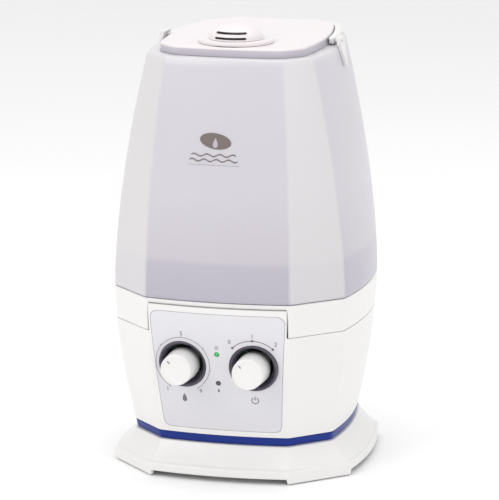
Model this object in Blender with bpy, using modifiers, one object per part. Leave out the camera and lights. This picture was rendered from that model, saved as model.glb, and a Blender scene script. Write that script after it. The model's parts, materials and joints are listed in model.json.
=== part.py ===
"""Ultrasonic humidifier with a warm and a cool setting, built as separate pieces.

Metres, +Z up. The front, with its two knobs, faces -Y. The body is an octagonal barrel whose four
wide faces bulge outward: a water tank above the seam and a housing with the works below it.
"""

import math

import bmesh
import bpy
from mathutils import Matrix

# Driving dimensions -------------------------------------------------------------------------------
GAP = 0.0003  # between pieces that touch
WALL = 0.0025  # moulded shells
FACE_RADIUS = 0.330  # bulge of the four wide faces

HOUSING_BOTTOM_Z = 0.0375
SEAM_Z = HOUSING_BOTTOM_Z + 0.123  # tank meets base
RIM_Z = SEAM_Z + 0.2065  # top of the tank
PLATE_TOP_Z = RIM_Z + 0.008
RING_BOTTOM_Z = HOUSING_BOTTOM_Z - 0.0075
PARTING_Z = SEAM_Z - 0.0295  # housing meets the basin ring at the sides and the back
TONGUE_Z = SEAM_Z - 0.0052  # housing meets the basin ring at the front
TANK_FLOOR_Z = SEAM_Z + 0.0245
BASIN_FLOOR_Z = SEAM_Z - 0.0195
BASIN_FLOOR_THICK = 0.003
BASIN_FRONT_INSET = 0.0125  # its front wall stands behind the housing's raised front

# Half width, half depth and half front flat of the octagon at each level
SEAM_WIDTH = 0.1032
SEAM_DEPTH = 0.1025
SEAM_FLAT = SEAM_WIDTH - 0.0387
RIM_WIDTH, RIM_DEPTH = SEAM_WIDTH - 0.0297, SEAM_DEPTH - 0.0217
RIM_FLAT = RIM_WIDTH - 0.0213
FOOT_WIDTH, FOOT_DEPTH = SEAM_WIDTH - 0.0140, SEAM_DEPTH - 0.0219
FOOT_FLAT = FOOT_WIDTH - 0.0313
PLATE_WIDTH, PLATE_DEPTH = RIM_WIDTH - 0.0101, RIM_DEPTH - 0.0098
PLATE_FLAT = PLATE_WIDTH - 0.0159
TRAY_WIDTH, TRAY_DEPTH = FOOT_WIDTH + 0.0173, FOOT_DEPTH + 0.0170
TRAY_FLAT = TRAY_WIDTH - 0.0439
BACK_EXTRA = 0.032  # every level reaches this much further at the back than at the front
TRAY_LIP_Z = 0.012
TRAY_RAISED_Z = 0.005  # underside of the tray between its corner feet
TRAY_CORNER_Z = 0.001
FOOT_PAD_RADIUS = 0.009
SCREW_RADIUS = 0.0018
SCREW_LENGTH = 0.012
SCREW_INSET = 0.0065  # from the housing's foot to the screws of the bottom cover
SCREW_Y = 0.020
BOSS_RADIUS = SCREW_RADIUS + 0.0025

CHIMNEY_RADIUS = 0.019
CHIMNEY_WALL = 0.0016
NOZZLE_Y = -0.038
NOZZLE_RADIUS = CHIMNEY_RADIUS + 0.0135
NOZZLE_HEIGHT = 0.016
COLLAR_HEIGHT = 0.003
CAP_Y = 0.045
CAP_RADIUS = 0.027
NECK_LENGTH = 0.017
VALVE_HOLE = 0.0048
PIN_LENGTH = 0.021  # the basin's pin, which holds the valve open
POST_LENGTH = 0.024  # the float's post
WELL_RADIUS = 0.0165  # over the transducer

PANEL_TOP_Z, PANEL_BOTTOM_Z = SEAM_Z - 0.0105, HOUSING_BOTTOM_Z + 0.0053
PANEL_TOP_HALF, PANEL_BOTTOM_HALF = SEAM_FLAT - 0.0043, FOOT_FLAT - 0.0057
PANEL_DEPTH = 0.0013

KNOB_RADIUS = 0.2442 * PANEL_TOP_HALF
KNOB_X = 0.5233 * PANEL_TOP_HALF
KNOB_Z = SEAM_Z - 0.0577
KNOB_FACE_Y = -(SEAM_DEPTH + 0.0207)
KNOB_SINK = 0.0035  # its back stands this far behind the panel
KNOB_SKIN = 0.004
BEZEL_RADIUS = KNOB_RADIUS + 0.0065
SHAFT_RADIUS = 0.003
SHAFT_REACH = 0.0125  # behind the knob
CONTROL_HALF, CONTROL_DEPTH = 0.0105, 0.011
LIGHT_RADIUS = 0.002
POWER_LIGHT_Z, EMPTY_LIGHT_Z = KNOB_Z + 0.0105, KNOB_Z - 0.0162

HANDLE_Y = BACK_EXTRA / 2
HANDLE_WIDTH = 0.0062
HANDLE_THICK = 0.0054
HANDLE_EDGE = 0.0010
HANDLE_CLEAR = 0.0012  # under its arms, so that their ends can swing past the tank
PIN_RADIUS = 0.0015
BRACKET_THICK = 0.0030

FAN_RADIUS = 0.026
FAN_X, FAN_Y = -0.042, 0.030
BLOWER_HEIGHT = 0.024
MOTOR_RADIUS = 0.011
DUCT_RADIUS = 0.009
DUCT_X, DUCT_Y = FAN_X - 0.0155, FAN_Y + 0.0155  # beside the motor
DUCT_WALL = 0.0015
FILTER_THICK = 0.006
GLAND_Z = HOUSING_BOTTOM_Z + 0.0205
GLAND_RADIUS = 0.009
FLOAT_X, FLOAT_Y = 0.048, -0.030

COVER_Z = 0.0055  # underside of the bottom cover
COVER_THICK = 0.0025
FOOT_PAD_HEIGHT = COVER_Z - GAP
BOARD_THICK = 0.0016


# Scene helpers ------------------------------------------------------------------------------------
def clear_scene():
    for item in list(bpy.data.objects):
        bpy.data.objects.remove(item, do_unlink=True)


def new_collection(name):
    made = bpy.data.collections.new(name)
    bpy.context.scene.collection.children.link(made)
    return made


clear_scene()
PARTS = new_collection("humidifier")
CUTTERS = new_collection("cutters")
CUTTERS.hide_render = True
ROOT = bpy.data.objects.new("humidifier_root", None)
PARTS.objects.link(ROOT)


def material(name, colour, roughness, metallic=0.0, alpha=1.0):
    found = bpy.data.materials.get(name)
    if found:
        return found
    made = bpy.data.materials.new(name)
    made.use_nodes = True
    shader = made.node_tree.nodes["Principled BSDF"]
    shader.inputs["Base Color"].default_value = (*colour, 1)
    shader.inputs["Roughness"].default_value = roughness
    shader.inputs["Metallic"].default_value = metallic
    shader.inputs["Alpha"].default_value = alpha
    return made


WHITE = ("white_plastic", (0.86, 0.86, 0.84), 0.4)
COVER = ("cover_plastic", (0.85, 0.80, 0.81), 0.4)
TANK = ("tank_plastic", (0.78, 0.76, 0.82), 0.2, 0.0, 0.6)
PANEL = ("panel_plastic", (0.70, 0.69, 0.73), 0.35)
DARK = ("dark_plastic", (0.05, 0.04, 0.06), 0.15)
BLUE = ("blue_plastic", (0.03, 0.06, 0.30), 0.2)
GREY = ("grey_plastic", (0.35, 0.36, 0.38), 0.5)
RUBBER = ("rubber", (0.08, 0.08, 0.08), 0.8)
STEEL = ("steel", (0.6, 0.6, 0.62), 0.3, 1.0)
BRASS = ("brass", (0.7, 0.5, 0.25), 0.3, 1.0)
BOARD = ("circuit_board", (0.05, 0.25, 0.1), 0.5)
GREEN = ("green_light", (0.1, 0.7, 0.2), 0.2)
FOAM = ("filter_foam", (0.12, 0.12, 0.13), 0.9)
CERAMIC = ("ceramic", (0.85, 0.83, 0.78), 0.3)


def link(name, mesh, look, place=(0, 0, 0)):
    """A part, shaded smooth except at its real edges, under the root."""
    made = bpy.data.objects.new(name, mesh)
    mesh.materials.clear()
    mesh.materials.append(material(*look))
    mesh.shade_smooth()
    mesh.set_sharp_from_angle(angle=math.radians(35))
    PARTS.objects.link(made)
    made.parent = ROOT
    made.location = place
    return made


def as_cutter(mesh, place=(0, 0, 0), rotation=(0, 0, 0)):
    made = bpy.data.objects.new("cutter", mesh)
    CUTTERS.objects.link(made)
    made.parent = ROOT
    made.location = place
    made.rotation_euler = rotation
    made.hide_render = True
    made.display_type = "WIRE"
    return made


def boolean(part, tool, operation="DIFFERENCE"):
    step = part.modifiers.new(operation.lower(), "BOOLEAN")
    step.operation = operation
    step.object = tool
    step.solver = "EXACT"


def mesh_of(build):
    """A mesh from a function that fills a bmesh."""
    made = bpy.data.meshes.new("shape")
    shape = bmesh.new()
    build(shape)
    bmesh.ops.recalc_face_normals(shape, faces=shape.faces)
    shape.to_mesh(made)
    shape.free()
    return made


def box_mesh(size):
    def build(shape):
        bmesh.ops.create_cube(shape, size=1, matrix=Matrix.Diagonal((*size, 1)))

    return mesh_of(build)


def cylinder_mesh(radius, depth, sides=32, top_radius=None):
    """Along Z, standing on its origin."""
    top = radius if top_radius is None else top_radius

    def build(shape):
        bmesh.ops.create_cone(
            shape, cap_ends=True, segments=sides, radius1=radius, radius2=top, depth=depth,
            matrix=Matrix.Translation((0, 0, depth / 2)),
        )

    return mesh_of(build)


def turned(name, profile, look, place=(0, 0, 0), sides=24, tilt=None):
    """A closed or axis-to-axis profile of (radius, height) points turned about Z, top to bottom outside."""
    mesh = bpy.data.meshes.new(name)
    shape = bmesh.new()
    points = [shape.verts.new((r, 0, z)) for r, z in profile]
    on_axis = profile[0][0] == 0 and profile[-1][0] == 0
    ends = list(zip(points, points[1:]))
    if not on_axis:
        ends.append((points[-1], points[0]))
    for first, second in ends:
        shape.edges.new((first, second))
    shape.to_mesh(mesh)
    shape.free()
    made = link(name, mesh, look, place)
    screw = made.modifiers.new("turn", "SCREW")
    screw.steps = sides
    screw.render_steps = sides
    screw.use_merge_vertices = True
    screw.merge_threshold = 0.00001
    screw.use_smooth_shade = True
    if tilt:
        made.rotation_euler = tilt
    return made


def solid_box(name, low, high, look):
    middle = [(a + b) / 2 for a, b in zip(low, high)]
    return link(name, box_mesh([b - a for a, b in zip(low, high)]), look, middle)


def cut_cylinder(part, place, radius, depth, rotation=(0, 0, 0), sides=24):
    boolean(part, as_cutter(cylinder_mesh(radius, depth, sides), place, rotation))


def cut_box(part, low, high):
    middle = [(a + b) / 2 for a, b in zip(low, high)]
    boolean(part, as_cutter(box_mesh([b - a for a, b in zip(low, high)]), middle))


# The octagonal barrel -----------------------------------------------------------------------------
def blend_to(start, end, power, share):
    return start + (end - start) * share**power


def barrel_at(z):
    """Half width, half depth and half front flat of the barrel's outside at a height."""
    if z >= SEAM_Z:
        share = (z - SEAM_Z) / (RIM_Z - SEAM_Z)
        return (
            blend_to(SEAM_WIDTH, RIM_WIDTH, 1.6, share),
            blend_to(SEAM_DEPTH, RIM_DEPTH, 1.75, share),
            blend_to(SEAM_FLAT, RIM_FLAT, 1.9, share),
        )
    share = (SEAM_Z - z) / (SEAM_Z - HOUSING_BOTTOM_Z)
    return (
        blend_to(SEAM_WIDTH, FOOT_WIDTH, 1.8, share),
        blend_to(SEAM_DEPTH, FOOT_DEPTH, 1.65, share),
        blend_to(SEAM_FLAT, FOOT_FLAT, 1.7, share),
    )


def back_drop(width, depth, flat):
    """How much narrower half of the back face is than half of the front one."""
    side_flat = flat + depth - width
    return BACK_EXTRA * (BACK_EXTRA + 2 * side_flat) / (2 * FACE_RADIUS)


def back_reach(width, depth, flat):
    """How far back the middle of the back face is."""
    half = flat - back_drop(width, depth, flat)
    return depth + BACK_EXTRA + half * half / (2 * FACE_RADIUS)


def face_points(start, end, reach, bulging, steps):
    """Points along a wide face, each with how far out it is."""
    points = []
    for step in range(steps + 1):
        at = start + (end - start) * step / steps
        points.append((at, reach + (bulging * bulging - at * at) / (2 * FACE_RADIUS)))
    return points


def outline(width, depth, flat, inset=0.0, front_inset=0.0, steps=6):
    """Plan of the barrel, anticlockwise from above: four wide arcs with 45 degree corners between."""
    diagonal = flat + depth - inset * math.sqrt(2)
    side, reach = width - inset, depth - inset
    side_flat = flat + depth - width
    half = diagonal - side
    tail = half + BACK_EXTRA
    front_half = diagonal - reach + front_inset
    back_half = diagonal - reach - (tail * tail - side_flat * side_flat) / (2 * FACE_RADIUS)
    back_flat = flat - back_drop(width, depth, flat)
    front = face_points(-front_half, front_half, reach - front_inset, flat, steps)
    right = face_points(-half, tail, side, side_flat, steps)
    back = face_points(back_half, -back_half, reach + BACK_EXTRA, back_flat, steps)
    points = [(at, -out) for at, out in front]
    points += [(out, at) for at, out in right]
    points += [(at, out) for at, out in back]
    points += [(-out, at) for at, out in reversed(right)]
    return points


def loft(shape, rings):
    """A closed solid through rings, each a list of points bottom to top."""
    rows = [[shape.verts.new(point) for point in ring] for ring in rings]
    count = len(rows[0])
    for low, high in zip(rows, rows[1:]):
        for i in range(count):
            j = (i + 1) % count
            shape.faces.new((low[i], low[j], high[j], high[i]))
    shape.faces.new(list(reversed(rows[0])))
    shape.faces.new(rows[-1])


def barrel_rings(heights, inset=0.0, front_inset=0.0):
    return [
        [(x, y, z) for x, y in outline(*barrel_at(z), inset, front_inset)] for z in heights
    ]


def barrel_mesh(heights, inset=0.0, front_inset=0.0):
    return mesh_of(lambda shape: loft(shape, barrel_rings(heights, inset, front_inset)))


def section_mesh(sections, inset=0.0):
    """A solid through (height, half width, half depth, half flat) sections."""
    rings = [
        [(x, y, z) for x, y in outline(w, d, f, inset)] for z, w, d, f in sections
    ]
    return mesh_of(lambda shape: loft(shape, rings))


def heights_between(low, high, steps):
    return [low + (high - low) * i / steps for i in range(steps + 1)]


def front_y(x, z, inset=0.0):
    """The barrel's front face."""
    _, depth, flat = barrel_at(z)
    return -(depth - inset + (flat * flat - x * x) / (2 * FACE_RADIUS))


FRONT_SLOPE = math.atan(
    (front_y(0, KNOB_Z - 0.02) - front_y(0, KNOB_Z + 0.02)) / 0.04
)  # how far the panel leans, at the knobs


# Base: outside --------------------------------------------------------------------------------------
def tray_sections():
    """The skirt of the tray from its underside up to the blue ring."""
    width, depth, flat = (value + 0.001 for value in barrel_at(HOUSING_BOTTOM_Z))
    return [
        (TRAY_CORNER_Z, TRAY_WIDTH + 0.001, TRAY_DEPTH + 0.001, TRAY_FLAT),
        (TRAY_LIP_Z, TRAY_WIDTH, TRAY_DEPTH, TRAY_FLAT),
        (TRAY_LIP_Z + 0.004, TRAY_WIDTH - 0.005, TRAY_DEPTH - 0.005, TRAY_FLAT - 0.001),
        (RING_BOTTOM_Z - GAP, width - 0.002, depth - 0.002, flat - 0.001),
    ]


def make_base_tray():
    """Flared skirt, open below, with a flat top deck under the housing and raised long sides."""
    tray = link("base_tray", section_mesh(tray_sections()), WHITE)
    hollow = [
        (TRAY_CORNER_Z - 0.01, *tray_sections()[0][1:]),
        (TRAY_LIP_Z - 0.001, TRAY_WIDTH, TRAY_DEPTH, TRAY_FLAT),
        (RING_BOTTOM_Z - 0.004, *tray_sections()[3][1:]),
    ]
    boolean(tray, as_cutter(section_mesh(hollow, inset=WALL + 0.001)))
    reach = 0.2
    raise_by = (-0.01, TRAY_RAISED_Z)
    half = TRAY_FLAT
    back_half = half - back_drop(TRAY_WIDTH, TRAY_DEPTH, TRAY_FLAT)
    side_half = TRAY_FLAT + TRAY_DEPTH - TRAY_WIDTH
    cut_box(tray, (-half, -reach, raise_by[0]), (half, 0, raise_by[1]))
    cut_box(tray, (-back_half, -0.001, raise_by[0]), (back_half, reach, raise_by[1]))
    cut_box(tray, (-reach, -side_half, raise_by[0]), (reach, side_half + BACK_EXTRA, raise_by[1]))
    opening = barrel_mesh(heights_between(HOUSING_BOTTOM_Z, HOUSING_BOTTOM_Z + 0.01, 1), inset=0.012)
    boolean(tray, as_cutter(opening, (0, 0, -0.015)))
    boss_low = COVER_Z + COVER_THICK + GAP
    boss = RING_BOTTOM_Z - 0.002 - boss_low
    for x, y in screw_places():
        boolean(tray, as_cutter(cylinder_mesh(BOSS_RADIUS, boss, 16), (x, y, boss_low)), "UNION")
        cut_cylinder(tray, (x, y, boss_low - 0.001), SCREW_RADIUS + GAP, SCREW_LENGTH, sides=16)
    return tray


def foot_places():
    reach = (TRAY_DEPTH + TRAY_FLAT) / 2 - 0.016
    back = (reach - back_drop(TRAY_WIDTH, TRAY_DEPTH, TRAY_FLAT), reach + BACK_EXTRA)
    return [(side * x, y) for side in (-1, 1) for x, y in ((reach, -reach), back)]


def make_feet():
    """Rubber pads on pillars of the bottom cover, inside the tray's corner feet."""
    for number, (x, y) in enumerate(foot_places(), 1):
        tip = FOOT_PAD_RADIUS - 0.0005
        profile = [(0, FOOT_PAD_HEIGHT), (FOOT_PAD_RADIUS, FOOT_PAD_HEIGHT), (tip, 0), (0, 0)]
        turned(f"rubber_foot_{number}", profile, RUBBER, (x, y, 0), sides=16)


def make_bottom_cover():
    """Plate under the works, with intake slots below the blower and a screw hole at each corner."""
    sections = [
        (z, TRAY_WIDTH - 0.008, TRAY_DEPTH - 0.008, TRAY_FLAT - 0.003)
        for z in (COVER_Z, COVER_Z + COVER_THICK)
    ]
    cover = link("bottom_cover", section_mesh(sections), WHITE)
    for slot in range(-3, 4):
        y = FAN_Y + slot * 0.006
        half = math.sqrt(FAN_RADIUS**2 - (slot * 0.006) ** 2) * 0.85
        cut_box(cover, (FAN_X - half, y - 0.0015, 0), (FAN_X + half, y + 0.0015, 0.02))
    for x, y in screw_places():
        cut_cylinder(cover, (x, y, 0), SCREW_RADIUS + 0.0004, 0.02, sides=16)
    return cover


def screw_places():
    reach = FOOT_WIDTH - SCREW_INSET
    return [(side * reach, y) for side in (-1, 1) for y in (-SCREW_Y, SCREW_Y + BACK_EXTRA / 2)]


def make_screws():
    """Pan-head screws through the bottom cover into the tray's bosses."""
    for number, (x, y) in enumerate(screw_places(), 1):
        top = COVER_Z - GAP
        head, drop = SCREW_RADIUS * 2, 0.0022
        profile = [
            (0, top + SCREW_LENGTH), (SCREW_RADIUS, top + SCREW_LENGTH - 0.001), (SCREW_RADIUS, top),
            (head, top), (head - 0.0006, top - drop), (0, top - drop),
        ]
        turned(f"cover_screw_{number}", profile, STEEL, (x, y, 0), sides=10)


def make_blue_ring():
    """Translucent band between the tray and the housing."""
    low, high = RING_BOTTOM_Z, HOUSING_BOTTOM_Z - GAP
    width, depth, flat = barrel_at(HOUSING_BOTTOM_Z)
    outer = [(low, width - 0.0013, depth - 0.0013, flat - 0.001), (high, width, depth, flat)]
    inner = [(low - 0.01, *outer[0][1:]), (high + 0.01, *outer[0][1:])]
    ring = link("blue_ring", section_mesh(outer), BLUE)
    boolean(ring, as_cutter(section_mesh(inner, inset=0.008)))


def panel_patch(margin, inner, outer, columns=6, rows=5):
    """A slab that follows the front face between two depths, around the control panel's outline."""

    def build(shape):
        grids = []
        for depth in (inner, outer):
            grid = []
            for row in range(rows + 1):
                share = row / rows
                low, high = PANEL_BOTTOM_Z - margin, PANEL_TOP_Z + margin
                z = low + (high - low) * share
                half = PANEL_BOTTOM_HALF + (PANEL_TOP_HALF - PANEL_BOTTOM_HALF) * share**0.8 + margin
                line = []
                for column in range(columns + 1):
                    x = half * (2 * column / columns - 1)
                    line.append(shape.verts.new((x, front_y(x, z) - depth, z)))
                grid.append(line)
            grids.append(grid)
        for side, grid in enumerate(grids):
            for row in range(rows):
                for column in range(columns):
                    here, above = grid[row], grid[row + 1]
                    face = [here[column], here[column + 1], above[column + 1], above[column]]
                    shape.faces.new(face if side else list(reversed(face)))
        loops = []
        for grid in grids:
            rim = list(grid[0]) + [line[-1] for line in grid[1:]]
            rim += list(reversed(grid[-1][:-1])) + [line[0] for line in reversed(grid[1:-1])]
            loops.append(rim)
        count = len(loops[0])
        for i in range(count):
            j = (i + 1) % count
            shape.faces.new((loops[0][i], loops[0][j], loops[1][j], loops[1][i]))

    return mesh_of(build)


def knob_places():
    return (("mist", -KNOB_X), ("power", KNOB_X))


def panel_point(x, z, out=0.0):
    """A point at a distance in front of the panel."""
    return (
        x,
        front_y(x, z) - out * math.cos(FRONT_SLOPE),
        z - out * math.sin(FRONT_SLOPE),
    )


PANEL_TILT = (math.radians(90) + FRONT_SLOPE, 0, 0)  # turns +Z to the panel's outward normal


def cut_panel_holes(part):
    for _, x in knob_places():
        cut_cylinder(part, panel_point(x, KNOB_Z, -0.02), BEZEL_RADIUS + GAP, 0.04, PANEL_TILT, 32)
    for z in (POWER_LIGHT_Z, EMPTY_LIGHT_Z):
        cut_cylinder(part, panel_point(0, z, -0.02), LIGHT_RADIUS + GAP, 0.04, PANEL_TILT, 16)


def make_lower_housing():
    """Barrel shell from the blue ring to the basin ring, higher at the front behind the panel."""
    housing = link("lower_housing", barrel_mesh(heights_between(HOUSING_BOTTOM_Z, TONGUE_Z, 5)), WHITE)
    inner = heights_between(HOUSING_BOTTOM_Z - 0.005, TONGUE_Z + 0.005, 5)
    boolean(housing, as_cutter(barrel_mesh(inner, inset=WALL)))
    cut_box(housing, (-0.2, -0.094, PARTING_Z), (0.2, 0.2, 0.2))
    for side in (-1, 1):
        ends = sorted((side * (SEAM_FLAT - 0.0008), side * 0.2))
        cut_box(housing, (ends[0], -0.2, PARTING_Z), (ends[1], 0.2, 0.2))
    boolean(housing, as_cutter(panel_patch(GAP, -PANEL_DEPTH, 0.006)))
    cut_panel_holes(housing)
    behind = back_reach(*barrel_at(GLAND_Z)) - 0.03
    cut_cylinder(housing, (0, behind, GLAND_Z), GLAND_RADIUS + GAP, 0.06, (math.radians(-90), 0, 0), 24)
    return housing


def make_control_panel():
    panel = link("control_panel", panel_patch(0, -PANEL_DEPTH + GAP, 0.0002), PANEL)
    cut_panel_holes(panel)


def make_bezels():
    """Dished dark ring round each knob, set in the panel and leaning with it."""
    for name, x in knob_places():
        profile = [
            (BEZEL_RADIUS - 0.0022, 0.0009), (BEZEL_RADIUS, 0.0004), (BEZEL_RADIUS, -0.007),
            (KNOB_RADIUS + 0.002, -0.007), (KNOB_RADIUS + 0.002, -0.0048),
        ]
        turned(f"{name}_knob_bezel", profile, DARK, panel_point(x, KNOB_Z), 32, PANEL_TILT)


def make_knobs():
    """Knobs, their shafts and the controls behind the panel, all on level axes along Y."""
    forward = (math.radians(90), 0, 0)
    for name, x in knob_places():
        back = front_y(x, KNOB_Z) + KNOB_SINK
        length = back - KNOB_FACE_Y
        skirt = KNOB_RADIUS - 0.0002
        hole = SHAFT_RADIUS + GAP
        bore_end = length - KNOB_SKIN
        profile = [
            (0, length), (skirt - 0.0042, length - 0.0003), (skirt - 0.0016, length - 0.0014),
            (skirt - 0.0004, length - 0.0042), (skirt, 0), (hole, 0), (hole, bore_end), (0, bore_end),
        ]
        turned(f"{name}_knob", profile, WHITE, (x, back, KNOB_Z), 32, forward)
        shaft = bore_end - GAP
        turned(
            f"{name}_shaft",
            [(0, shaft), (SHAFT_RADIUS, shaft), (SHAFT_RADIUS, -SHAFT_REACH), (0, -SHAFT_REACH)],
            STEEL, (x, back, KNOB_Z), 16, forward,
        )
        body = back + SHAFT_REACH + GAP
        label = "mist_potentiometer" if name == "mist" else "power_switch"
        half = CONTROL_HALF
        ends = (x + half, body + CONTROL_DEPTH, KNOB_Z + half)
        solid_box(label, (x - half, body, KNOB_Z - half), ends, GREY)


def make_lights():
    """Two round lenses in the panel and the board that carries them and both controls."""
    for name, z, look in (("power_light", POWER_LIGHT_Z, GREEN), ("empty_light", EMPTY_LIGHT_Z, DARK)):
        tail = -0.009
        dome = [(0, 0.001), (LIGHT_RADIUS * 0.7, 0.0007)]
        profile = [*dome, (LIGHT_RADIUS, 0), (LIGHT_RADIUS, tail), (0, tail)]
        turned(name, profile, look, panel_point(0, z), 16, PANEL_TILT)
    board_y = front_y(KNOB_X, KNOB_Z) + KNOB_SINK + SHAFT_REACH + CONTROL_DEPTH + 3 * GAP
    half, low, high = KNOB_X + 0.0185, KNOB_Z - 0.0248, KNOB_Z + 0.0202
    solid_box("lamp_board", (-half, board_y, low), (half, board_y + BOARD_THICK, high), BOARD)


# Base: water basin ----------------------------------------------------------------------------------
def make_upper_basin():
    """Water basin that tops the base: outer ring, floor, pin for the tank valve, float guide, air hole."""
    ring_low, ring_high = PARTING_Z + GAP, SEAM_Z - GAP
    basin = link("upper_basin", barrel_mesh(heights_between(ring_low, ring_high, 2)), WHITE)
    under = BASIN_FLOOR_Z - BASIN_FLOOR_THICK
    for low, high in ((BASIN_FLOOR_Z, ring_high + 0.005), (ring_low - 0.005, under)):
        hollow = barrel_mesh(heights_between(low, high, 1), WALL, BASIN_FRONT_INSET)
        boolean(basin, as_cutter(hollow))
    half = SEAM_FLAT - 0.0005
    notch_y = front_y(SEAM_FLAT, PARTING_Z, WALL) + 0.0015
    cut_box(basin, (-half, -0.2, PARTING_Z - 0.01), (half, notch_y, TONGUE_Z + GAP))
    cut_cylinder(basin, (0, NOZZLE_Y, under - 0.01), WELL_RADIUS, 0.03)
    cut_cylinder(basin, (DUCT_X, DUCT_Y, under - 0.01), DUCT_RADIUS + GAP, 0.03)
    pin = cylinder_mesh(0.003, PIN_LENGTH, 16)
    boolean(basin, as_cutter(pin, (0, CAP_Y, under + 0.001)), "UNION")
    post = cylinder_mesh(0.0045, POST_LENGTH, 16)
    boolean(basin, as_cutter(post, (FLOAT_X, FLOAT_Y, under + 0.001)), "UNION")
    return basin


def make_transducer():
    """Piezo disc in a rubber seal, held under the basin by a holder."""
    top = BASIN_FLOOR_Z - BASIN_FLOOR_THICK - GAP
    seat, ledge, low = WELL_RADIUS - 0.0005, top - 0.004, top - 0.012
    bore, outer = seat - 0.004, seat + 0.008
    profile = [(outer, top), (outer, low), (bore, low), (bore, ledge), (seat, ledge), (seat, top)]
    turned("transducer_holder", profile, CERAMIC, (0, NOZZLE_Y, 0))
    inner, outer = seat - 0.0035, seat - 0.0005
    high, low = top - 0.001, top - 0.0037
    seal = [(outer, high), (outer, low), (inner, low), (inner, high)]
    turned("transducer_seal", seal, RUBBER, (0, NOZZLE_Y, 0))
    radius, high, low = inner - GAP, top - 0.0013, top - 0.0033
    turned("transducer_disc", [(0, high), (radius, high), (radius, low), (0, low)], BRASS, (0, NOZZLE_Y, 0))
    low = BASIN_FLOOR_Z + GAP
    high, inner, outer = low + 0.006, 0.0042, 0.012
    heater = [(outer, high), (outer, low), (inner, low), (inner, high)]
    turned("heater_plate", heater, STEEL, (-0.045, -0.045, 0))


def make_float():
    """Ring that rises with the water on its post, and the cap that keeps it there."""
    low = BASIN_FLOOR_Z + GAP
    high, inner, outer = low + 0.010, 0.0052, 0.014
    profile = [(outer, high), (outer, low), (inner, low), (inner, high)]
    turned("float_ring", profile, CERAMIC, (FLOAT_X, FLOAT_Y, 0), 24)
    low = BASIN_FLOOR_Z - BASIN_FLOOR_THICK + 0.001 + POST_LENGTH + GAP
    high, radius = low + 0.002, 0.007
    profile = [(0, high), (radius, high), (radius, low), (0, low)]
    turned("float_cap", profile, GREY, (FLOAT_X, FLOAT_Y, 0), 24)


# Base: works ----------------------------------------------------------------------------------------
def make_blower():
    """Filter, housing, motor and bladed rotor over the intake slots, and the duct up into the basin."""
    floor = COVER_Z + COVER_THICK + GAP
    low = floor + FILTER_THICK + GAP
    high = low + BLOWER_HEIGHT
    corner = (FAN_X - FAN_RADIUS, FAN_Y - FAN_RADIUS, floor)
    solid_box("air_filter", corner, (FAN_X + FAN_RADIUS, FAN_Y + FAN_RADIUS, floor + FILTER_THICK), FOAM)
    wall = 0.002
    outer = FAN_RADIUS + 0.008
    housing = link("blower_housing", cylinder_mesh(outer, high - low, 32), GREY, (FAN_X, FAN_Y, low))
    cut_cylinder(housing, (FAN_X, FAN_Y, low + wall), outer - wall, high - low - 2 * wall, sides=32)
    cut_cylinder(housing, (FAN_X, FAN_Y, low - 0.001), FAN_RADIUS - 0.006, 0.004)
    cut_cylinder(housing, (FAN_X, FAN_Y, high - 0.003), MOTOR_RADIUS + 0.0005, 0.004)
    cut_cylinder(housing, (DUCT_X, DUCT_Y, high - 0.004), DUCT_RADIUS - wall, 0.006)
    make_rotor(low + 0.004, high - 0.004)
    motor_low, motor_high = high - 0.006 + GAP, high + 0.012
    motor = [(0, motor_high), (MOTOR_RADIUS, motor_high), (MOTOR_RADIUS, motor_low), (0, motor_low)]
    turned("blower_motor", motor, STEEL, (FAN_X, FAN_Y, 0), 24)
    bottom, top = high + GAP, SEAM_Z + 0.0065
    inner = DUCT_RADIUS - DUCT_WALL
    duct = [(DUCT_RADIUS, top), (DUCT_RADIUS, bottom), (inner, bottom), (inner, top)]
    turned("air_duct", duct, GREY, (DUCT_X, DUCT_Y, 0), 24)


def make_rotor(low, high):
    """Back plate and hub with ten slanted blades."""
    edge, plate_high, plate_low = FAN_RADIUS - 0.001, high - 0.002, high - 0.004
    hub = [(0, plate_high), (edge, plate_high), (edge, plate_low)]
    hub += [(0.007, plate_low), (0.005, low), (0, low)]
    rotor = turned("blower_rotor", hub, WHITE, (FAN_X, FAN_Y, 0), 24)
    blades = 10
    reach = FAN_RADIUS - 0.006
    height = high - low - 0.003
    for number in range(blades):
        angle = math.tau * number / blades
        blade = box_mesh((0.007, 0.0012, height))
        x, y = FAN_X + reach * math.cos(angle), FAN_Y + reach * math.sin(angle)
        boolean(rotor, as_cutter(blade, (x, y, low + height / 2), (0, 0, angle + math.radians(50))), "UNION")


def make_electronics():
    """Boards on the bottom cover, the transformer, the driver's heat sink and the inlet gland."""
    floor = COVER_Z + COVER_THICK + GAP
    top = floor + BOARD_THICK
    solid_box("power_board", (0.012, 0.000, floor), (0.070, 0.062, top), BOARD)
    solid_box("transformer", (0.020, 0.018, top + GAP), (0.058, 0.052, top + 0.0304), STEEL)
    solid_box("driver_board", (-0.015, -0.066, floor), (0.045, -0.010, top), BOARD)
    sink_x, fin_pitch, slot = 0.004, 0.006, 0.0015
    sink = solid_box("heat_sink", (0.000, -0.056, top + GAP), (0.034, -0.022, top + 0.0204), STEEL)
    for fin in range(5):
        x = sink_x + fin * fin_pitch
        cut_box(sink, (x - slot, -0.1, top + 0.0034), (x + slot, 0.1, 0.1))
    rear = back_reach(*barrel_at(GLAND_Z))
    bore, lip, length = GLAND_RADIUS * 0.5, 0.003, 0.010
    outside = [(GLAND_RADIUS - 0.001, lip), (GLAND_RADIUS, lip - 0.001), (GLAND_RADIUS, -length)]
    profile = [(bore, lip), *outside, (bore, -length)]
    turned("inlet_gland", profile, RUBBER, (0, rear, GLAND_Z), 24, (math.radians(-90), 0, 0))


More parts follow.
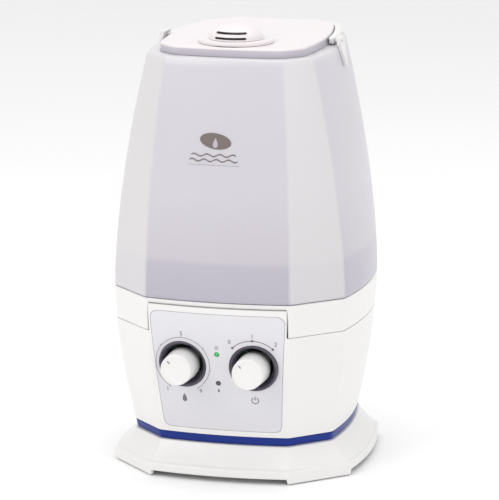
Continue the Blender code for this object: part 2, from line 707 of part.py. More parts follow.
# Tank -----------------------------------------------------------------------------------------------
def make_tank_shell():
    """Translucent barrel, open below the floor, closed by a ledge under the top cover."""
    low = SEAM_Z + GAP
    shell = link("tank_shell", barrel_mesh(heights_between(low, RIM_Z, 6)), TANK)
    inner = heights_between(low - 0.005, RIM_Z - WALL, 6)
    boolean(shell, as_cutter(barrel_mesh(inner, inset=WALL)))
    cut_cylinder(shell, (0, NOZZLE_Y, RIM_Z - 0.02), CHIMNEY_RADIUS + CHIMNEY_WALL + GAP, 0.04)
    return shell


def make_tank_floor():
    """Floor inside the shell, with the filling neck and the chimney's hole."""
    low, high = TANK_FLOOR_Z, TANK_FLOOR_Z + WALL
    floor = link("tank_floor", barrel_mesh([low, high], inset=WALL + GAP), TANK)
    neck = cylinder_mesh(CAP_RADIUS - 0.004, NECK_LENGTH + 0.001, 32)
    boolean(floor, as_cutter(neck, (0, CAP_Y, low - NECK_LENGTH)), "UNION")
    cut_cylinder(floor, (0, CAP_Y, low - 0.03), CAP_RADIUS - 0.0065, 0.06)
    cut_cylinder(floor, (0, NOZZLE_Y, low - 0.01), CHIMNEY_RADIUS + CHIMNEY_WALL + GAP, 0.03)


def make_chimney():
    low, high = TANK_FLOOR_Z - 0.006, RIM_Z - 0.0002
    inner, outer = CHIMNEY_RADIUS, CHIMNEY_RADIUS + CHIMNEY_WALL
    tube = [(outer, high), (outer, low), (inner, low), (inner, high)]
    turned("mist_chimney", tube, TANK, (0, NOZZLE_Y, 0))


def make_cap_and_valve():
    """Cap on the filling neck, with its seal, and the sprung valve that the basin's pin holds open."""
    neck_low = TANK_FLOOR_Z - NECK_LENGTH
    top, base = TANK_FLOOR_Z - 0.003, neck_low - 0.0035
    floor = base + 0.002
    inner = CAP_RADIUS - 0.0037
    cap = [
        (CAP_RADIUS, top), (CAP_RADIUS, base), (VALVE_HOLE, base), (VALVE_HOLE, floor),
        (inner, floor), (inner, top),
    ]
    turned("tank_cap", cap, WHITE, (0, CAP_Y, 0), 32)
    seal_low, seal_high = floor + GAP, neck_low - GAP
    outer = CAP_RADIUS - 0.0043
    inner = outer - 0.003
    seal = [(outer, seal_high), (outer, seal_low), (inner, seal_low), (inner, seal_high)]
    turned("cap_seal", seal, RUBBER, (0, CAP_Y, 0))
    make_valve(seal_low, floor + 0.0047)


def make_valve(seat, disc):
    """Stem with its disc and seal, spring and cage. seat is the cage's foot, disc the disc's underside."""
    pin_top = BASIN_FLOOR_Z - BASIN_FLOOR_THICK + 0.001 + PIN_LENGTH
    stem_low = pin_top + GAP
    stem, thick, wide = 0.0018, 0.0012, VALVE_HOLE + 0.0037
    profile = [
        (0, disc + 0.014), (stem, disc + 0.014), (stem, disc + thick), (wide, disc + thick),
        (wide, disc), (stem + 0.0002, disc), (stem + 0.0002, stem_low), (0, stem_low),
    ]
    turned("valve_stem", profile, GREY, (0, CAP_Y, 0), 24)
    inner, outer = stem + 0.0006, wide - 0.0005
    high, low = disc - GAP, disc - thick
    seal = [(outer, high), (outer, low), (inner, low), (inner, high)]
    turned("valve_seal", seal, RUBBER, (0, CAP_Y, 0), 24)
    make_valve_spring(disc + thick + GAP, disc + 0.0122)
    roof = disc + 0.0125
    top = roof + 0.002
    skin, outer = 0.0132, 0.0150
    profile = [(outer, top), (outer, seat), (skin, seat), (skin, roof), (inner, roof), (inner, top)]
    cage = turned("valve_cage", profile, GREY, (0, CAP_Y, 0), 24)
    narrow, wide, low, high = 0.006, 0.03, seat + 0.004, roof - 0.002
    cut_box(cage, (-wide, CAP_Y - narrow, low), (wide, CAP_Y + narrow, high))
    cut_box(cage, (-narrow, CAP_Y - wide, low), (narrow, CAP_Y + wide, high))


def make_valve_spring(low, high):
    """Open coil between the valve's disc and the top of its cage."""
    wire, radius, turns, per_turn = 0.0004, 0.0045, 4, 8
    curve = bpy.data.curves.new("valve_spring", "CURVE")
    curve.dimensions = "3D"
    curve.bevel_depth = wire
    curve.bevel_resolution = 0
    curve.use_fill_caps = True
    spline = curve.splines.new("POLY")
    count = turns * per_turn + 1
    spline.points.add(count - 1)
    for i, point in enumerate(spline.points):
        angle = math.tau * i / per_turn
        share = i / (count - 1)
        z = low + wire + (high - low - 2 * wire) * share
        point.co = (radius * math.cos(angle), radius * math.sin(angle), z, 1)
    made = bpy.data.objects.new("valve_spring", curve)
    curve.materials.append(material(*STEEL))
    PARTS.objects.link(made)
    made.parent = ROOT
    made.location = (0, CAP_Y, 0)


# Top ------------------------------------------------------------------------------------------------
def plate_sections(low, high, inset=0.0):
    lean = 0.0006
    return [
        (low, PLATE_WIDTH + lean - inset, PLATE_DEPTH + lean - inset, PLATE_FLAT - inset * 0.414),
        (high, PLATE_WIDTH - inset, PLATE_DEPTH - inset, PLATE_FLAT - inset * 0.414),
    ]


def make_top_cover():
    """Opaque plate on the tank's ledge, hollow below, with a round hole for the nozzle collar."""
    low = RIM_Z + GAP
    cover = link("top_cover", section_mesh([
        *plate_sections(low, PLATE_TOP_Z - 0.0012),
        plate_sections(low, PLATE_TOP_Z, 0.0012)[1],
    ]), COVER)
    hollow = section_mesh(plate_sections(low - 0.005, PLATE_TOP_Z - WALL), inset=WALL)
    boolean(cover, as_cutter(hollow))
    cut_cylinder(cover, (0, NOZZLE_Y, low - 0.01), CHIMNEY_RADIUS + 0.0025, 0.04)
    return cover


def make_nozzle():
    """Collar that plugs into the chimney, and the slotted hood that turns on it."""
    base = PLATE_TOP_Z + GAP
    top = base + COLLAR_HEIGHT
    spigot = CHIMNEY_RADIUS - 0.0005
    bore = spigot - 0.002
    foot = base - 0.022
    collar = [
        (NOZZLE_RADIUS - 0.0008, top), (NOZZLE_RADIUS, top - 0.0008), (NOZZLE_RADIUS, base),
        (spigot, base), (spigot, foot), (bore, foot), (bore, top),
    ]
    turned("nozzle_collar", collar, COVER, (0, NOZZLE_Y, 0), 32)
    make_hood(top + GAP, PLATE_TOP_Z + NOZZLE_HEIGHT)


def make_hood(low, crest):
    """Thin dome on a short flange, with two level slots in its front."""
    rim, dome, wall, flange = NOZZLE_RADIUS - 0.0082, NOZZLE_RADIUS - 0.0090, 0.0018, 0.0005
    steps = 5
    rise = crest - low - flange
    outside = [(0, crest)]
    inside = []
    for step in range(1, steps + 1):
        angle = math.radians(90) * step / steps
        outside.append((dome * math.sin(angle), low + flange + rise * math.cos(angle)))
    for step in range(steps, -1, -1):
        angle = math.radians(90) * step / steps
        inside.append(((dome - wall) * math.sin(angle), low + (rise - wall + flange) * math.cos(angle)))
    inside[-1] = (0, inside[-1][1])
    profile = [*outside, (rim, low + flange), (rim, low), *inside]
    hood = turned("nozzle_hood", profile, COVER, (0, NOZZLE_Y, 0), 32)
    slot = 0.0010
    for up, half in ((0.0062, 0.0138), (0.0020, 0.0143)):
        ends = (low + up - slot, low + up + slot)
        cut_box(hood, (-half, NOZZLE_Y - 0.04, ends[0]), (half, NOZZLE_Y - 0.006, ends[1]))


# Handle ---------------------------------------------------------------------------------------------
def handle_pivot():
    """Height of the handle's pivots, and the inner and outer half width of its arms."""
    side_flat = PLATE_FLAT + PLATE_DEPTH - PLATE_WIDTH
    inner = PLATE_WIDTH + 0.0006 + side_flat**2 / (2 * FACE_RADIUS) + 0.0005
    return RIM_Z + HANDLE_CLEAR + HANDLE_THICK / 2, inner, inner + HANDLE_WIDTH


def arm_points(reach, cut):
    """One side of an arm, which follows the bulge of the plate from the pivot to where the bend starts."""
    end = FACE_RADIUS - math.sqrt(FACE_RADIUS**2 - 2 * FACE_RADIUS * (cut - reach))
    steps = 3
    points = []
    for step in range(steps + 1):
        y = HANDLE_Y + (end - HANDLE_Y) * step / steps
        points.append((reach - y * y / (2 * FACE_RADIUS), y - HANDLE_Y))
    return points


def handle_path():
    """Plan of the handle round its pivots' axis."""
    _, inner, outer = handle_pivot()
    plate_half = PLATE_FLAT - back_drop(PLATE_WIDTH, PLATE_DEPTH, PLATE_FLAT)
    back_inner = back_reach(PLATE_WIDTH, PLATE_DEPTH, PLATE_FLAT) + 0.0012
    back_outer = back_reach(RIM_WIDTH, RIM_DEPTH, RIM_FLAT) - 0.0003
    cut_inner = plate_half + PLATE_DEPTH + BACK_EXTRA + 0.0035
    cut_outer = cut_inner + HANDLE_WIDTH * 1.35
    outside = arm_points(outer, cut_outer)
    outside.append((cut_outer - back_outer, back_outer - HANDLE_Y))
    inside = [(cut_inner - back_inner, back_inner - HANDLE_Y)]
    inside += reversed(arm_points(inner, cut_inner))
    middle, half_width = (outside[0][0] + inside[-1][0]) / 2, (outer - inner) / 2
    tip = [
        (middle + half_width * math.cos(a), HANDLE_THICK / 2 * math.sin(a))
        for a in (math.radians(-180 + 30 * k) for k in range(1, 6))
    ]
    edge = [*tip, *outside]
    return [*edge, *[(-x, y) for x, y in reversed(edge)], *[(-x, y) for x, y in reversed(inside)], *inside]


def make_handle():
    """U-shaped bail that lies round the back of the top cover, its arms pinned at the tank's sides."""
    pivot_z, inner, _ = handle_pivot()
    curve = bpy.data.curves.new("carry_handle", "CURVE")
    curve.dimensions = "2D"
    curve.fill_mode = "BOTH"
    curve.extrude = HANDLE_THICK / 2 - HANDLE_EDGE
    curve.offset = -HANDLE_EDGE
    curve.bevel_depth = HANDLE_EDGE
    curve.bevel_resolution = 1
    path = handle_path()
    spline = curve.splines.new("POLY")
    spline.points.add(len(path) - 1)
    spline.use_cyclic_u = True
    for point, (x, y) in zip(spline.points, path):
        point.co = (x, y, 0, 1)
    source = bpy.data.objects.new("handle_curve", curve)
    CUTTERS.objects.link(source)
    bpy.context.view_layer.update()
    mesh = bpy.data.meshes.new_from_object(source.evaluated_get(bpy.context.evaluated_depsgraph_get()))
    shape = bmesh.new()
    shape.from_mesh(mesh)
    bmesh.ops.remove_doubles(shape, verts=shape.verts, dist=0.00001)
    bmesh.ops.recalc_face_normals(shape, faces=shape.faces)
    shape.to_mesh(mesh)
    shape.free()
    bpy.data.objects.remove(source, do_unlink=True)
    handle = link("carry_handle", mesh, WHITE, (0, HANDLE_Y, pivot_z))
    for side in (-1, 1):
        place = (side * (inner - 0.002), HANDLE_Y, pivot_z)
        cut_cylinder(handle, place, PIN_RADIUS + GAP, 0.012, (0, side * math.radians(90), 0), 16)


def side_x(z):
    width, depth, flat = barrel_at(z)
    return width + (flat + depth - width) ** 2 / (2 * FACE_RADIUS)


def bracket_lean():
    """The tank's side at its widest: where it is at the rim, and how it leans below."""
    low_z = RIM_Z - 0.017
    top, low = (side_x(z) for z in (RIM_Z, low_z))
    return top, math.atan((low - top) / (RIM_Z - low_z))


def make_brackets():
    """V-shaped lugs on the tank's sides that carry the handle's pins."""
    pivot_z, inner, _ = handle_pivot()
    widest, lean = bracket_lean()
    half, tip = 0.0095, 0.0018
    top, waist, bottom = pivot_z - RIM_Z + 0.0036, 0.0020, -0.0180
    edge = [(-half, top), (-half, waist), (-tip, bottom)]
    lug = [*edge, *[(-y, up) for y, up in reversed(edge)]]
    reach = widest - HANDLE_Y**2 / (2 * FACE_RADIUS)
    for label, side in (("left", -1), ("right", 1)):

        def build(shape, side=side):
            rings = []
            for out in (GAP, GAP + BRACKET_THICK):
                ring = []
                for y, up in lug:
                    at = HANDLE_Y + y
                    x = widest - at * at / (2 * FACE_RADIUS) - up * math.tan(lean) + out
                    ring.append((side * x, at, RIM_Z + up))
                rings.append(ring)
            loft(shape, rings)

        bracket = link(f"handle_bracket_{label}", mesh_of(build), WHITE)
        turn = (0, side * math.radians(90), 0)
        place = (side * (reach - 0.006), HANDLE_Y, pivot_z)
        cut_cylinder(bracket, place, PIN_RADIUS + GAP, 0.014, turn, 16)
        length = reach + BRACKET_THICK - inner - 0.0012
        pin = cylinder_mesh(PIN_RADIUS, length, 16)
        made = link(f"handle_pin_{label}", pin, STEEL, (side * (inner + 0.0008), HANDLE_Y, pivot_z))
        made.rotation_euler = turn


def main():
    ROOT.location = (0, -(KNOB_FACE_Y + back_reach(*barrel_at(SEAM_Z))) / 2, 0)
    make_base_tray()
    make_feet()
    make_bottom_cover()
    make_screws()
    make_blue_ring()
    make_lower_housing()
    make_control_panel()
    make_bezels()
    make_knobs()
    make_lights()
    make_upper_basin()
    make_transducer()
    make_float()
    make_blower()
    make_electronics()
    make_tank_shell()
    make_tank_floor()
    make_chimney()
    make_cap_and_valve()
    make_top_cover()
    make_nozzle()
    make_handle()
    make_brackets()


main()
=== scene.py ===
"""Looks of the ultrasonic humidifier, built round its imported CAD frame. Metres, +Z up, front at -Y."""

import json
import math

import bmesh
import bpy
from mathutils import Matrix, Vector


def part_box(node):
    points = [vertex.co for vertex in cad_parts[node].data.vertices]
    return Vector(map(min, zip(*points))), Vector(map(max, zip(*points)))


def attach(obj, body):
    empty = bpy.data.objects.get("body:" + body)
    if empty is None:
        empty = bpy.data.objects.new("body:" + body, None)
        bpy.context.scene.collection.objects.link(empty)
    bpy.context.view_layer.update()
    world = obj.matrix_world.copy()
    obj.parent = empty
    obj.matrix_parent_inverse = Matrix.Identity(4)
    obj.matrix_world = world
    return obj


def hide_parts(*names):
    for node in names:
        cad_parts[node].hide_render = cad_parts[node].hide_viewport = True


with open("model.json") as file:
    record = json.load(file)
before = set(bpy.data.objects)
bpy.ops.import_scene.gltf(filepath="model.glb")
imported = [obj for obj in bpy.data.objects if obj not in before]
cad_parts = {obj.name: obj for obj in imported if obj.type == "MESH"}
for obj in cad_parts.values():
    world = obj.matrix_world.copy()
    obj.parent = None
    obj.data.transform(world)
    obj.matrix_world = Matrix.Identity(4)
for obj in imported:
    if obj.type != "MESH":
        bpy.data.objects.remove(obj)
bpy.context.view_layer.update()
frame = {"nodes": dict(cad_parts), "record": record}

NODES = frame["nodes"]
SCENE = bpy.context.scene

# Places read from the frame -----------------------------------------------------------------------
TANK_LOW, TANK_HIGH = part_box("tank_shell")
HOUSING_LOW, HOUSING_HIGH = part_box("lower_housing")
RING_LOW, RING_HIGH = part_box("blue_ring")
TRAY_LOW, TRAY_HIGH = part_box("base_tray")
COVER_LOW, COVER_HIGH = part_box("top_cover")
PANEL_LOW, PANEL_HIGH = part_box("control_panel")
SEAM_Z, RIM_Z = TANK_LOW[2], TANK_HIGH[2]
HOUSING_BOTTOM_Z, TONGUE_Z = HOUSING_LOW[2], HOUSING_HIGH[2]


def centre_of(node):
    low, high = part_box(node)
    return Vector([(a + b) / 2 for a, b in zip(low, high)])


KNOB_CENTRES = {name: centre_of(f"{name}_knob") for name in ("mist", "power")}
KNOB_Z = KNOB_CENTRES["mist"].z
LIGHTS = {name: centre_of(name).z for name in ("power_light", "empty_light")}
NOZZLE = centre_of("nozzle_collar")
NOZZLE_FORWARD = 0.038  # from the body's widest place to the nozzle
AXIS_Y = NOZZLE.y + NOZZLE_FORWARD

# Shape of the barrel, as the CAD has it -----------------------------------------------------------
FACE_RADIUS = 0.330
WALL = 0.0025
GAP = 0.0003
PARTING_Z = 0.131
SEAM = (0.1032, 0.1025, 0.0645)  # half width, half depth, half length of the front flat
RIM = (0.0735, 0.0808, 0.0522)
FOOT = (0.0892, 0.0806, 0.0579)
PLATE = (0.0634, 0.0710, 0.0475)
TRAY = (0.1065, 0.0976, 0.0626)
TANK_CURVE = (1.6, 1.75, 1.9)  # how late each of the three sizes draws in above the seam
HOUSING_CURVE = (1.8, 1.65, 1.7)  # the same below it
BACK_EXTRA = 0.032  # how much further the body reaches at the back than at the front
CORNER = 0.0030  # softening of the eight upright edges
PLATE_CORNER = 0.006
TRAY_CORNER = 0.002
FACE_STEPS = 14
CORNER_STEPS = 4
EDGE_STEPS = 4


def mix(start, end, share):
    return start + (end - start) * share


def mix_sizes(start, end, share):
    return tuple(mix(a, b, share) for a, b in zip(start, end))


def barrel_at(z):
    """Half width, half depth and half front flat of the barrel at a height."""
    if z >= SEAM_Z:
        share, narrow, curve = (z - SEAM_Z) / (RIM_Z - SEAM_Z), RIM, TANK_CURVE
    else:
        share, narrow, curve = (SEAM_Z - z) / (SEAM_Z - HOUSING_BOTTOM_Z), FOOT, HOUSING_CURVE
    return tuple(mix(a, b, share**power) for a, b, power in zip(SEAM, narrow, curve))


def back_drop(sizes):
    """How much shorter half of the back flat is than half of the front one."""
    width, depth, flat = sizes
    return BACK_EXTRA * (BACK_EXTRA + 2 * (flat + depth - width)) / (2 * FACE_RADIUS)


def soften(points, start, tip, end, skip_last=False):
    """Adds a curve from start to end that pulls towards tip, less the end that a face already has."""
    steps = range(CORNER_STEPS) if skip_last else range(1, CORNER_STEPS + 1)
    for step in steps:
        t = step / CORNER_STEPS
        p = start * (1 - t) ** 2 + tip * 2 * t * (1 - t) + end * t * t
        points.append((p.x, p.y, False, True))


def outline(sizes, inset=0.0, front_inset=0.0, corner=CORNER):
    """Plan of the barrel about its axis: wide bulging faces, 45 degree corners, softened edges.

    Returns (x, y, on_front, on_corner) anticlockwise, starting with the front face."""
    width, depth, flat = sizes
    diagonal = flat + depth - inset * math.sqrt(2)
    side, reach = width - inset, depth - inset
    side_flat = flat + depth - width
    half = diagonal - side
    tail = half + BACK_EXTRA
    front_half = diagonal - reach + front_inset
    back_half = diagonal - reach - (tail * tail - side_flat * side_flat) / (2 * FACE_RADIUS)
    faces = (
        (0, reach - front_inset, flat, -front_half, front_half),
        (90, side, side_flat, -half, tail),
        (180, reach + BACK_EXTRA, flat - back_drop(sizes), -back_half, back_half),
        (270, side, side_flat, -tail, half),
    )
    runs = []
    for turn, level, bulging, start, end in faces:
        spin = Matrix.Rotation(math.radians(turn), 2)
        ats = [mix(start + corner, end - corner, step / FACE_STEPS) for step in range(FACE_STEPS + 1)]
        run = []
        for at in (*ats, start, end):
            bulge = (bulging**2 - at * at) / (2 * FACE_RADIUS)
            run.append(spin @ Vector((at, -level - bulge)))
        runs.append((run[:-2], run[-2], run[-1]))
    points = []
    for number, (run, _, tip) in enumerate(runs):
        points += [(p.x, p.y, number == 0, False) for p in run]
        next_run, next_tip, _ = runs[(number + 1) % len(runs)]
        along = (next_tip - tip).normalized()
        soften(points, run[-1], tip, tip + along * corner)
        points.append((*((tip + next_tip) / 2), False, True))
        soften(points, next_tip - along * corner, next_tip, next_run[0], skip_last=True)
    return points


def ring(sizes, z, inset=0.0, front_inset=0.0, low_front=None, corner=CORNER):
    """One ring of a loft. low_front, where given, is another height for the front face."""
    front_z = z if low_front is None else low_front
    plan = outline(sizes, inset, front_inset, corner)
    return [(x, y + AXIS_Y, front_z if front else z) for x, y, front, _ in plan]


def front_y(x, z, out=0.0):
    """The front face of the barrel, a distance out from it."""
    _, depth, flat = barrel_at(z)
    return AXIS_Y - (depth + (flat * flat - x * x) / (2 * FACE_RADIUS)) - out


LEAN_REACH = 0.02  # the panel's lean is taken over this much above and below the knobs
LEAN_RUN = front_y(0, KNOB_Z - LEAN_REACH) - front_y(0, KNOB_Z + LEAN_REACH)
LEAN = math.atan(LEAN_RUN / (2 * LEAN_REACH))
PANEL_TURN = Matrix.Rotation(math.radians(90) + LEAN, 4, "X")  # +Z to the panel's normal
LEVEL_TURN = Matrix.Rotation(math.radians(90), 4, "X")


# Mesh helpers -------------------------------------------------------------------------------------
def sharpen(made, angle):
    made.data.set_sharp_from_angle(angle=math.radians(angle))


def add(name, shape, look, body, sharp_angle=40):
    """Turns a bmesh into a piece, with a slot's finish and a body to ride where they are given."""
    bmesh.ops.recalc_face_normals(shape, faces=shape.faces)
    mesh = bpy.data.meshes.new(name)
    shape.to_mesh(mesh)
    shape.free()
    mesh.shade_smooth()
    made = bpy.data.objects.new(name, mesh)
    sharpen(made, sharp_angle)
    SCENE.collection.objects.link(made)
    if look:
        mesh.materials.append(LOOKS[look])
    if body:
        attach(made, body)
    return made


def add_mark(name, shape, material, body, sharp_angle=40):
    """A piece with a material of its own."""
    made = add(name, shape, None, body, sharp_angle)
    made.data.materials.append(material)


def loft(rings, closed=False):
    """A skin through rings of equal length, joined end to start when closed and capped otherwise."""
    shape = bmesh.new()
    rows = [[shape.verts.new(point) for point in one] for one in rings]
    pairs = list(zip(rows, rows[1:]))
    if closed:
        pairs.append((rows[-1], rows[0]))
    count = len(rows[0])
    for low, high in pairs:
        for i in range(count):
            j = (i + 1) % count
            shape.faces.new((low[i], low[j], high[j], high[i]))
    if not closed:
        shape.faces.new(list(reversed(rows[0])))
        shape.faces.new(rows[-1])
    return shape


def spun(profile, place, turn=None, sides=64):
    """A profile of (radius, height) spun about Z, then turned and moved. Ends on the axis close it."""
    shape = bmesh.new()
    rows = []
    for radius, height in profile:
        if radius < 1e-7:
            rows.append([shape.verts.new((0, 0, height))])
            continue
        angles = [math.tau * i / sides for i in range(sides)]
        rows.append([shape.verts.new((radius * math.cos(a), radius * math.sin(a), height)) for a in angles])
    pairs = list(zip(rows, rows[1:]))
    if len(rows[0]) > 1 and len(rows[-1]) > 1:
        pairs.append((rows[-1], rows[0]))
    for first, second in pairs:
        for i in range(sides):
            j = (i + 1) % sides
            places = ((first, i), (first, j), (second, j), (second, i))
            unique = list(dict.fromkeys(row[at % len(row)] for row, at in places))
            if len(unique) > 2:
                shape.faces.new(unique)
    move = Matrix.Translation(place) @ (turn or Matrix.Identity(4))
    bmesh.ops.transform(shape, matrix=move, verts=shape.verts)
    return shape


def rod(radius, low, high):
    """Profile of a plain solid rod for spun."""
    return [(0, high), (radius, high), (radius, low), (0, low)]


def arc(centre_r, centre_z, radius, start, end, steps=5):
    """Points of a rounded edge in a profile, angles in degrees from +radius."""
    angles = [math.radians(mix(start, end, i / steps)) for i in range(steps + 1)]
    return [(centre_r + radius * math.cos(a), centre_z + radius * math.sin(a)) for a in angles]


def heights(low, high, steps):
    return [mix(low, high, i / steps) for i in range(steps + 1)]


def edge_turns():
    """Angles of an edge that turns from upright to level."""
    return [math.radians(90) * step / EDGE_STEPS for step in range(EDGE_STEPS + 1)]


def crowned(sizes, z, edge, corner=CORNER):
    """Rings that round a top edge over to a height z."""
    return [
        ring(sizes, z - edge * (1 - math.sin(turn)), edge * (1 - math.cos(turn)), corner=corner)
        for turn in edge_turns()
    ]


def apply_modifiers(made):
    graph = bpy.context.evaluated_depsgraph_get()
    fresh = bpy.data.meshes.new_from_object(made.evaluated_get(graph))
    made.modifiers.clear()
    old = made.data
    made.data = fresh
    bpy.data.meshes.remove(old)


def cut(made, shapes, operation="DIFFERENCE"):
    """Booleans other shapes into a piece and leaves none of them behind."""
    tools = [add(f"{made.name}_tool", shape, None, None) for shape in shapes]
    for tool in tools:
        step = made.modifiers.new("cut", "BOOLEAN")
        step.object = tool
        step.operation = operation
        step.solver = "EXACT"
    bpy.context.view_layer.update()
    apply_modifiers(made)
    for tool in tools:
        bpy.data.objects.remove(tool, do_unlink=True)


def geometry(shape):
    return shape.verts[:] + shape.edges[:] + shape.faces[:]


def slab(points, back, front):
    """A thin plate over a closed (x, z) outline that follows the barrel's front face.

    back and front say how far out of that face its two sides lie."""
    longest_cell = 0.005
    shape = bmesh.new()
    shape.faces.new([shape.verts.new((x, 0, z)) for x, z in points])
    for axis, values in zip((Vector((1, 0, 0)), Vector((0, 0, 1))), zip(*points)):
        low, high = min(values), max(values)
        count = max(2, int((high - low) / longest_cell))
        for step in range(1, count):
            at = axis * mix(low, high, step / count)
            bmesh.ops.bisect_plane(shape, geom=geometry(shape), plane_co=at, plane_no=axis)
    copy = bmesh.ops.duplicate(shape, geom=geometry(shape))
    twins = {item for item in copy["geom"] if isinstance(item, bmesh.types.BMVert)}
    rims = [edge for edge in shape.edges if edge.is_boundary]
    rims.sort(key=lambda edge: edge.verts[0] not in twins)
    for vert in shape.verts:
        vert.co.y = front_y(vert.co.x, vert.co.z, front if vert in twins else back)
    bmesh.ops.bridge_loops(shape, edges=rims)
    return shape


def prism(shape, corners, depth):
    """Adds a prism over a closed (x, z) outline, from Y 0 to a depth."""
    near, far = ([shape.verts.new((x, y, z)) for x, z in corners] for y in (0.0, depth))
    shape.faces.new(near)
    shape.faces.new(list(reversed(far)))
    for i in range(len(corners)):
        j = (i + 1) % len(corners)
        shape.faces.new((near[j], near[i], far[i], far[j]))


def rounded_quad(low_z, high_z, low_half, high_half, radii, margin=0.0, steps=6):
    """Outline of a trapezium with rounded corners: bottom left, bottom right, top right, top left."""
    low, high = low_z - margin, high_z + margin
    foot, head = low_half + margin, high_half + margin
    tips = [Vector(tip) for tip in ((-foot, low), (foot, low), (head, high), (-head, high))]
    points = []
    for i, tip in enumerate(tips):
        before = (tips[i - 1] - tip).normalized() * radii[i]
        after = (tips[(i + 1) % 4] - tip).normalized() * radii[i]
        for step in range(steps + 1):
            t = step / steps
            p = (tip + before) * (1 - t) ** 2 + tip * 2 * t * (1 - t) + (tip + after) * t * t
            points.append((p.x, p.y))
    return points


# Materials ----------------------------------------------------------------------------------------
class Nodes:
    """A short way to add and join shader nodes."""

    def __init__(self, name):
        self.material = bpy.data.materials.new(name)
        self.material.use_nodes = True
        self.tree = self.material.node_tree
        self.shader = self.tree.nodes["Principled BSDF"]
        self.place = self.add("ShaderNodeTexCoord").outputs["Object"]

    def add(self, kind, **settings):
        made = self.tree.nodes.new(kind)
        for key, value in settings.items():
            setattr(made, key, value)
        return made

    def join(self, start, end):
        self.tree.links.new(start, end)

    def settle(self, **values):
        """Plain values on the shader's own sockets, with _ for the spaces in their names."""
        for key, value in values.items():
            self.shader.inputs[key.replace("_", " ")].default_value = value

    def noise(self, scale, detail=0.0, stretch=(1, 1, 1)):
        mapping = self.add("ShaderNodeMapping")
        mapping.inputs["Scale"].default_value = stretch
        texture = self.add("ShaderNodeTexNoise")
        texture.inputs["Scale"].default_value = scale
        texture.inputs["Detail"].default_value = detail
        self.join(self.place, mapping.inputs["Vector"])
        self.join(mapping.outputs["Vector"], texture.inputs["Vector"])
        return texture.outputs["Fac"]

    def cells(self, scale, **settings):
        texture = self.add("ShaderNodeTexVoronoi", **settings)
        texture.inputs["Scale"].default_value = scale
        self.join(self.place, texture.inputs["Vector"])
        return texture.outputs["Distance"]

    def ramp(self, value, stops, target=None):
        """Colours over a value, joined to a socket of the shader where its name is given."""
        made = self.add("ShaderNodeValToRGB")
        for index, (at, colour) in enumerate(stops):
            if index > 1:
                made.color_ramp.elements.new(at)
            stop = made.color_ramp.elements[index]
            stop.position = at
            stop.color = (*colour, 1)
        self.join(value, made.inputs["Fac"])
        if target:
            self.join(made.outputs["Color"], self.shader.inputs[target])
        return made.outputs["Color"]

    def drift(self, value, low, high, target):
        """Lets a colour or a roughness wander between two values with a noise."""
        low, high = ((end,) * 3 if isinstance(end, float) else end for end in (low, high))
        self.ramp(value, [(0.1, low), (0.9, high)], target)

    def blend(self, share, first, second, mode="MIX"):
        made = self.add("ShaderNodeMix", data_type="RGBA", blend_type=mode)
        for key, value in (("Factor", share), ("A", first), ("B", second)):
            if isinstance(value, bpy.types.NodeSocket):
                self.join(value, made.inputs[key])
            else:
                made.inputs[key].default_value = value
        return made.outputs["Result"]

    def darken(self, body, value, stops):
        """The base colour: a body colour multiplied by a ramp over a value."""
        shares = self.ramp(value, stops)
        self.join(self.blend(1.0, body, shares, "MULTIPLY"), self.shader.inputs["Base Color"])

    def bump(self, height, strength, distance=0.0002):
        made = self.add("ShaderNodeBump")
        made.inputs["Strength"].default_value = strength
        made.inputs["Distance"].default_value = distance
        self.join(height, made.inputs["Height"])
        self.join(made.outputs["Normal"], self.shader.inputs["Normal"])

    def span(self, value, low, high, top=1.0):
        """0 at a low value, top at a high one."""
        made = self.add("ShaderNodeMapRange")
        made.inputs["From Min"].default_value = low
        made.inputs["From Max"].default_value = high
        made.inputs["To Max"].default_value = top
        self.join(value, made.inputs["Value"])
        return made.outputs["Result"]

    def height_share(self, low, high):
        """0 at a low z, 1 at a high z."""
        split = self.add("ShaderNodeSeparateXYZ")
        self.join(self.place, split.inputs["Vector"])
        return self.span(split.outputs["Z"], low, high)

    def corner_highlight_share(self, low=0.25, high=0.47, top=0.75):
        """Mask for a painted highlight: high on the upright corner faces, 0 on the wide ones; their
        directions' X times Y tells.
        """
        split = self.add("ShaderNodeSeparateXYZ")
        self.join(self.add("ShaderNodeTexCoord").outputs["Normal"], split.inputs["Vector"])
        product = self.add("ShaderNodeMath", operation="MULTIPLY")
        self.join(split.outputs["X"], product.inputs[0])
        self.join(split.outputs["Y"], product.inputs[1])
        size = self.add("ShaderNodeMath", operation="ABSOLUTE")
        self.join(product.outputs["Value"], size.inputs[0])
        return self.span(size.outputs["Value"], low, high, top)


def shade(colour, factor):
    return tuple(min(1.0, channel * factor) for channel in colour)


GLOSS_DRIFT = 0.015  # how far a moulding's roughness wanders
GRAIN_SCALE = 900


def moulded(name, colour, roughness, vary=0.03, grain=0.0, **sockets):
    """Moulded plastic: faint cloudiness in the colour, uneven gloss and, where asked, a fine grain."""
    n = Nodes(name)
    n.drift(n.noise(14), shade(colour, 1 - vary), shade(colour, 1 + vary), "Base Color")
    n.drift(n.noise(60), roughness - GLOSS_DRIFT, roughness + GLOSS_DRIFT, "Roughness")
    if grain:
        n.bump(n.noise(GRAIN_SCALE, 2), grain)
    n.settle(**sockets)
    return n.material


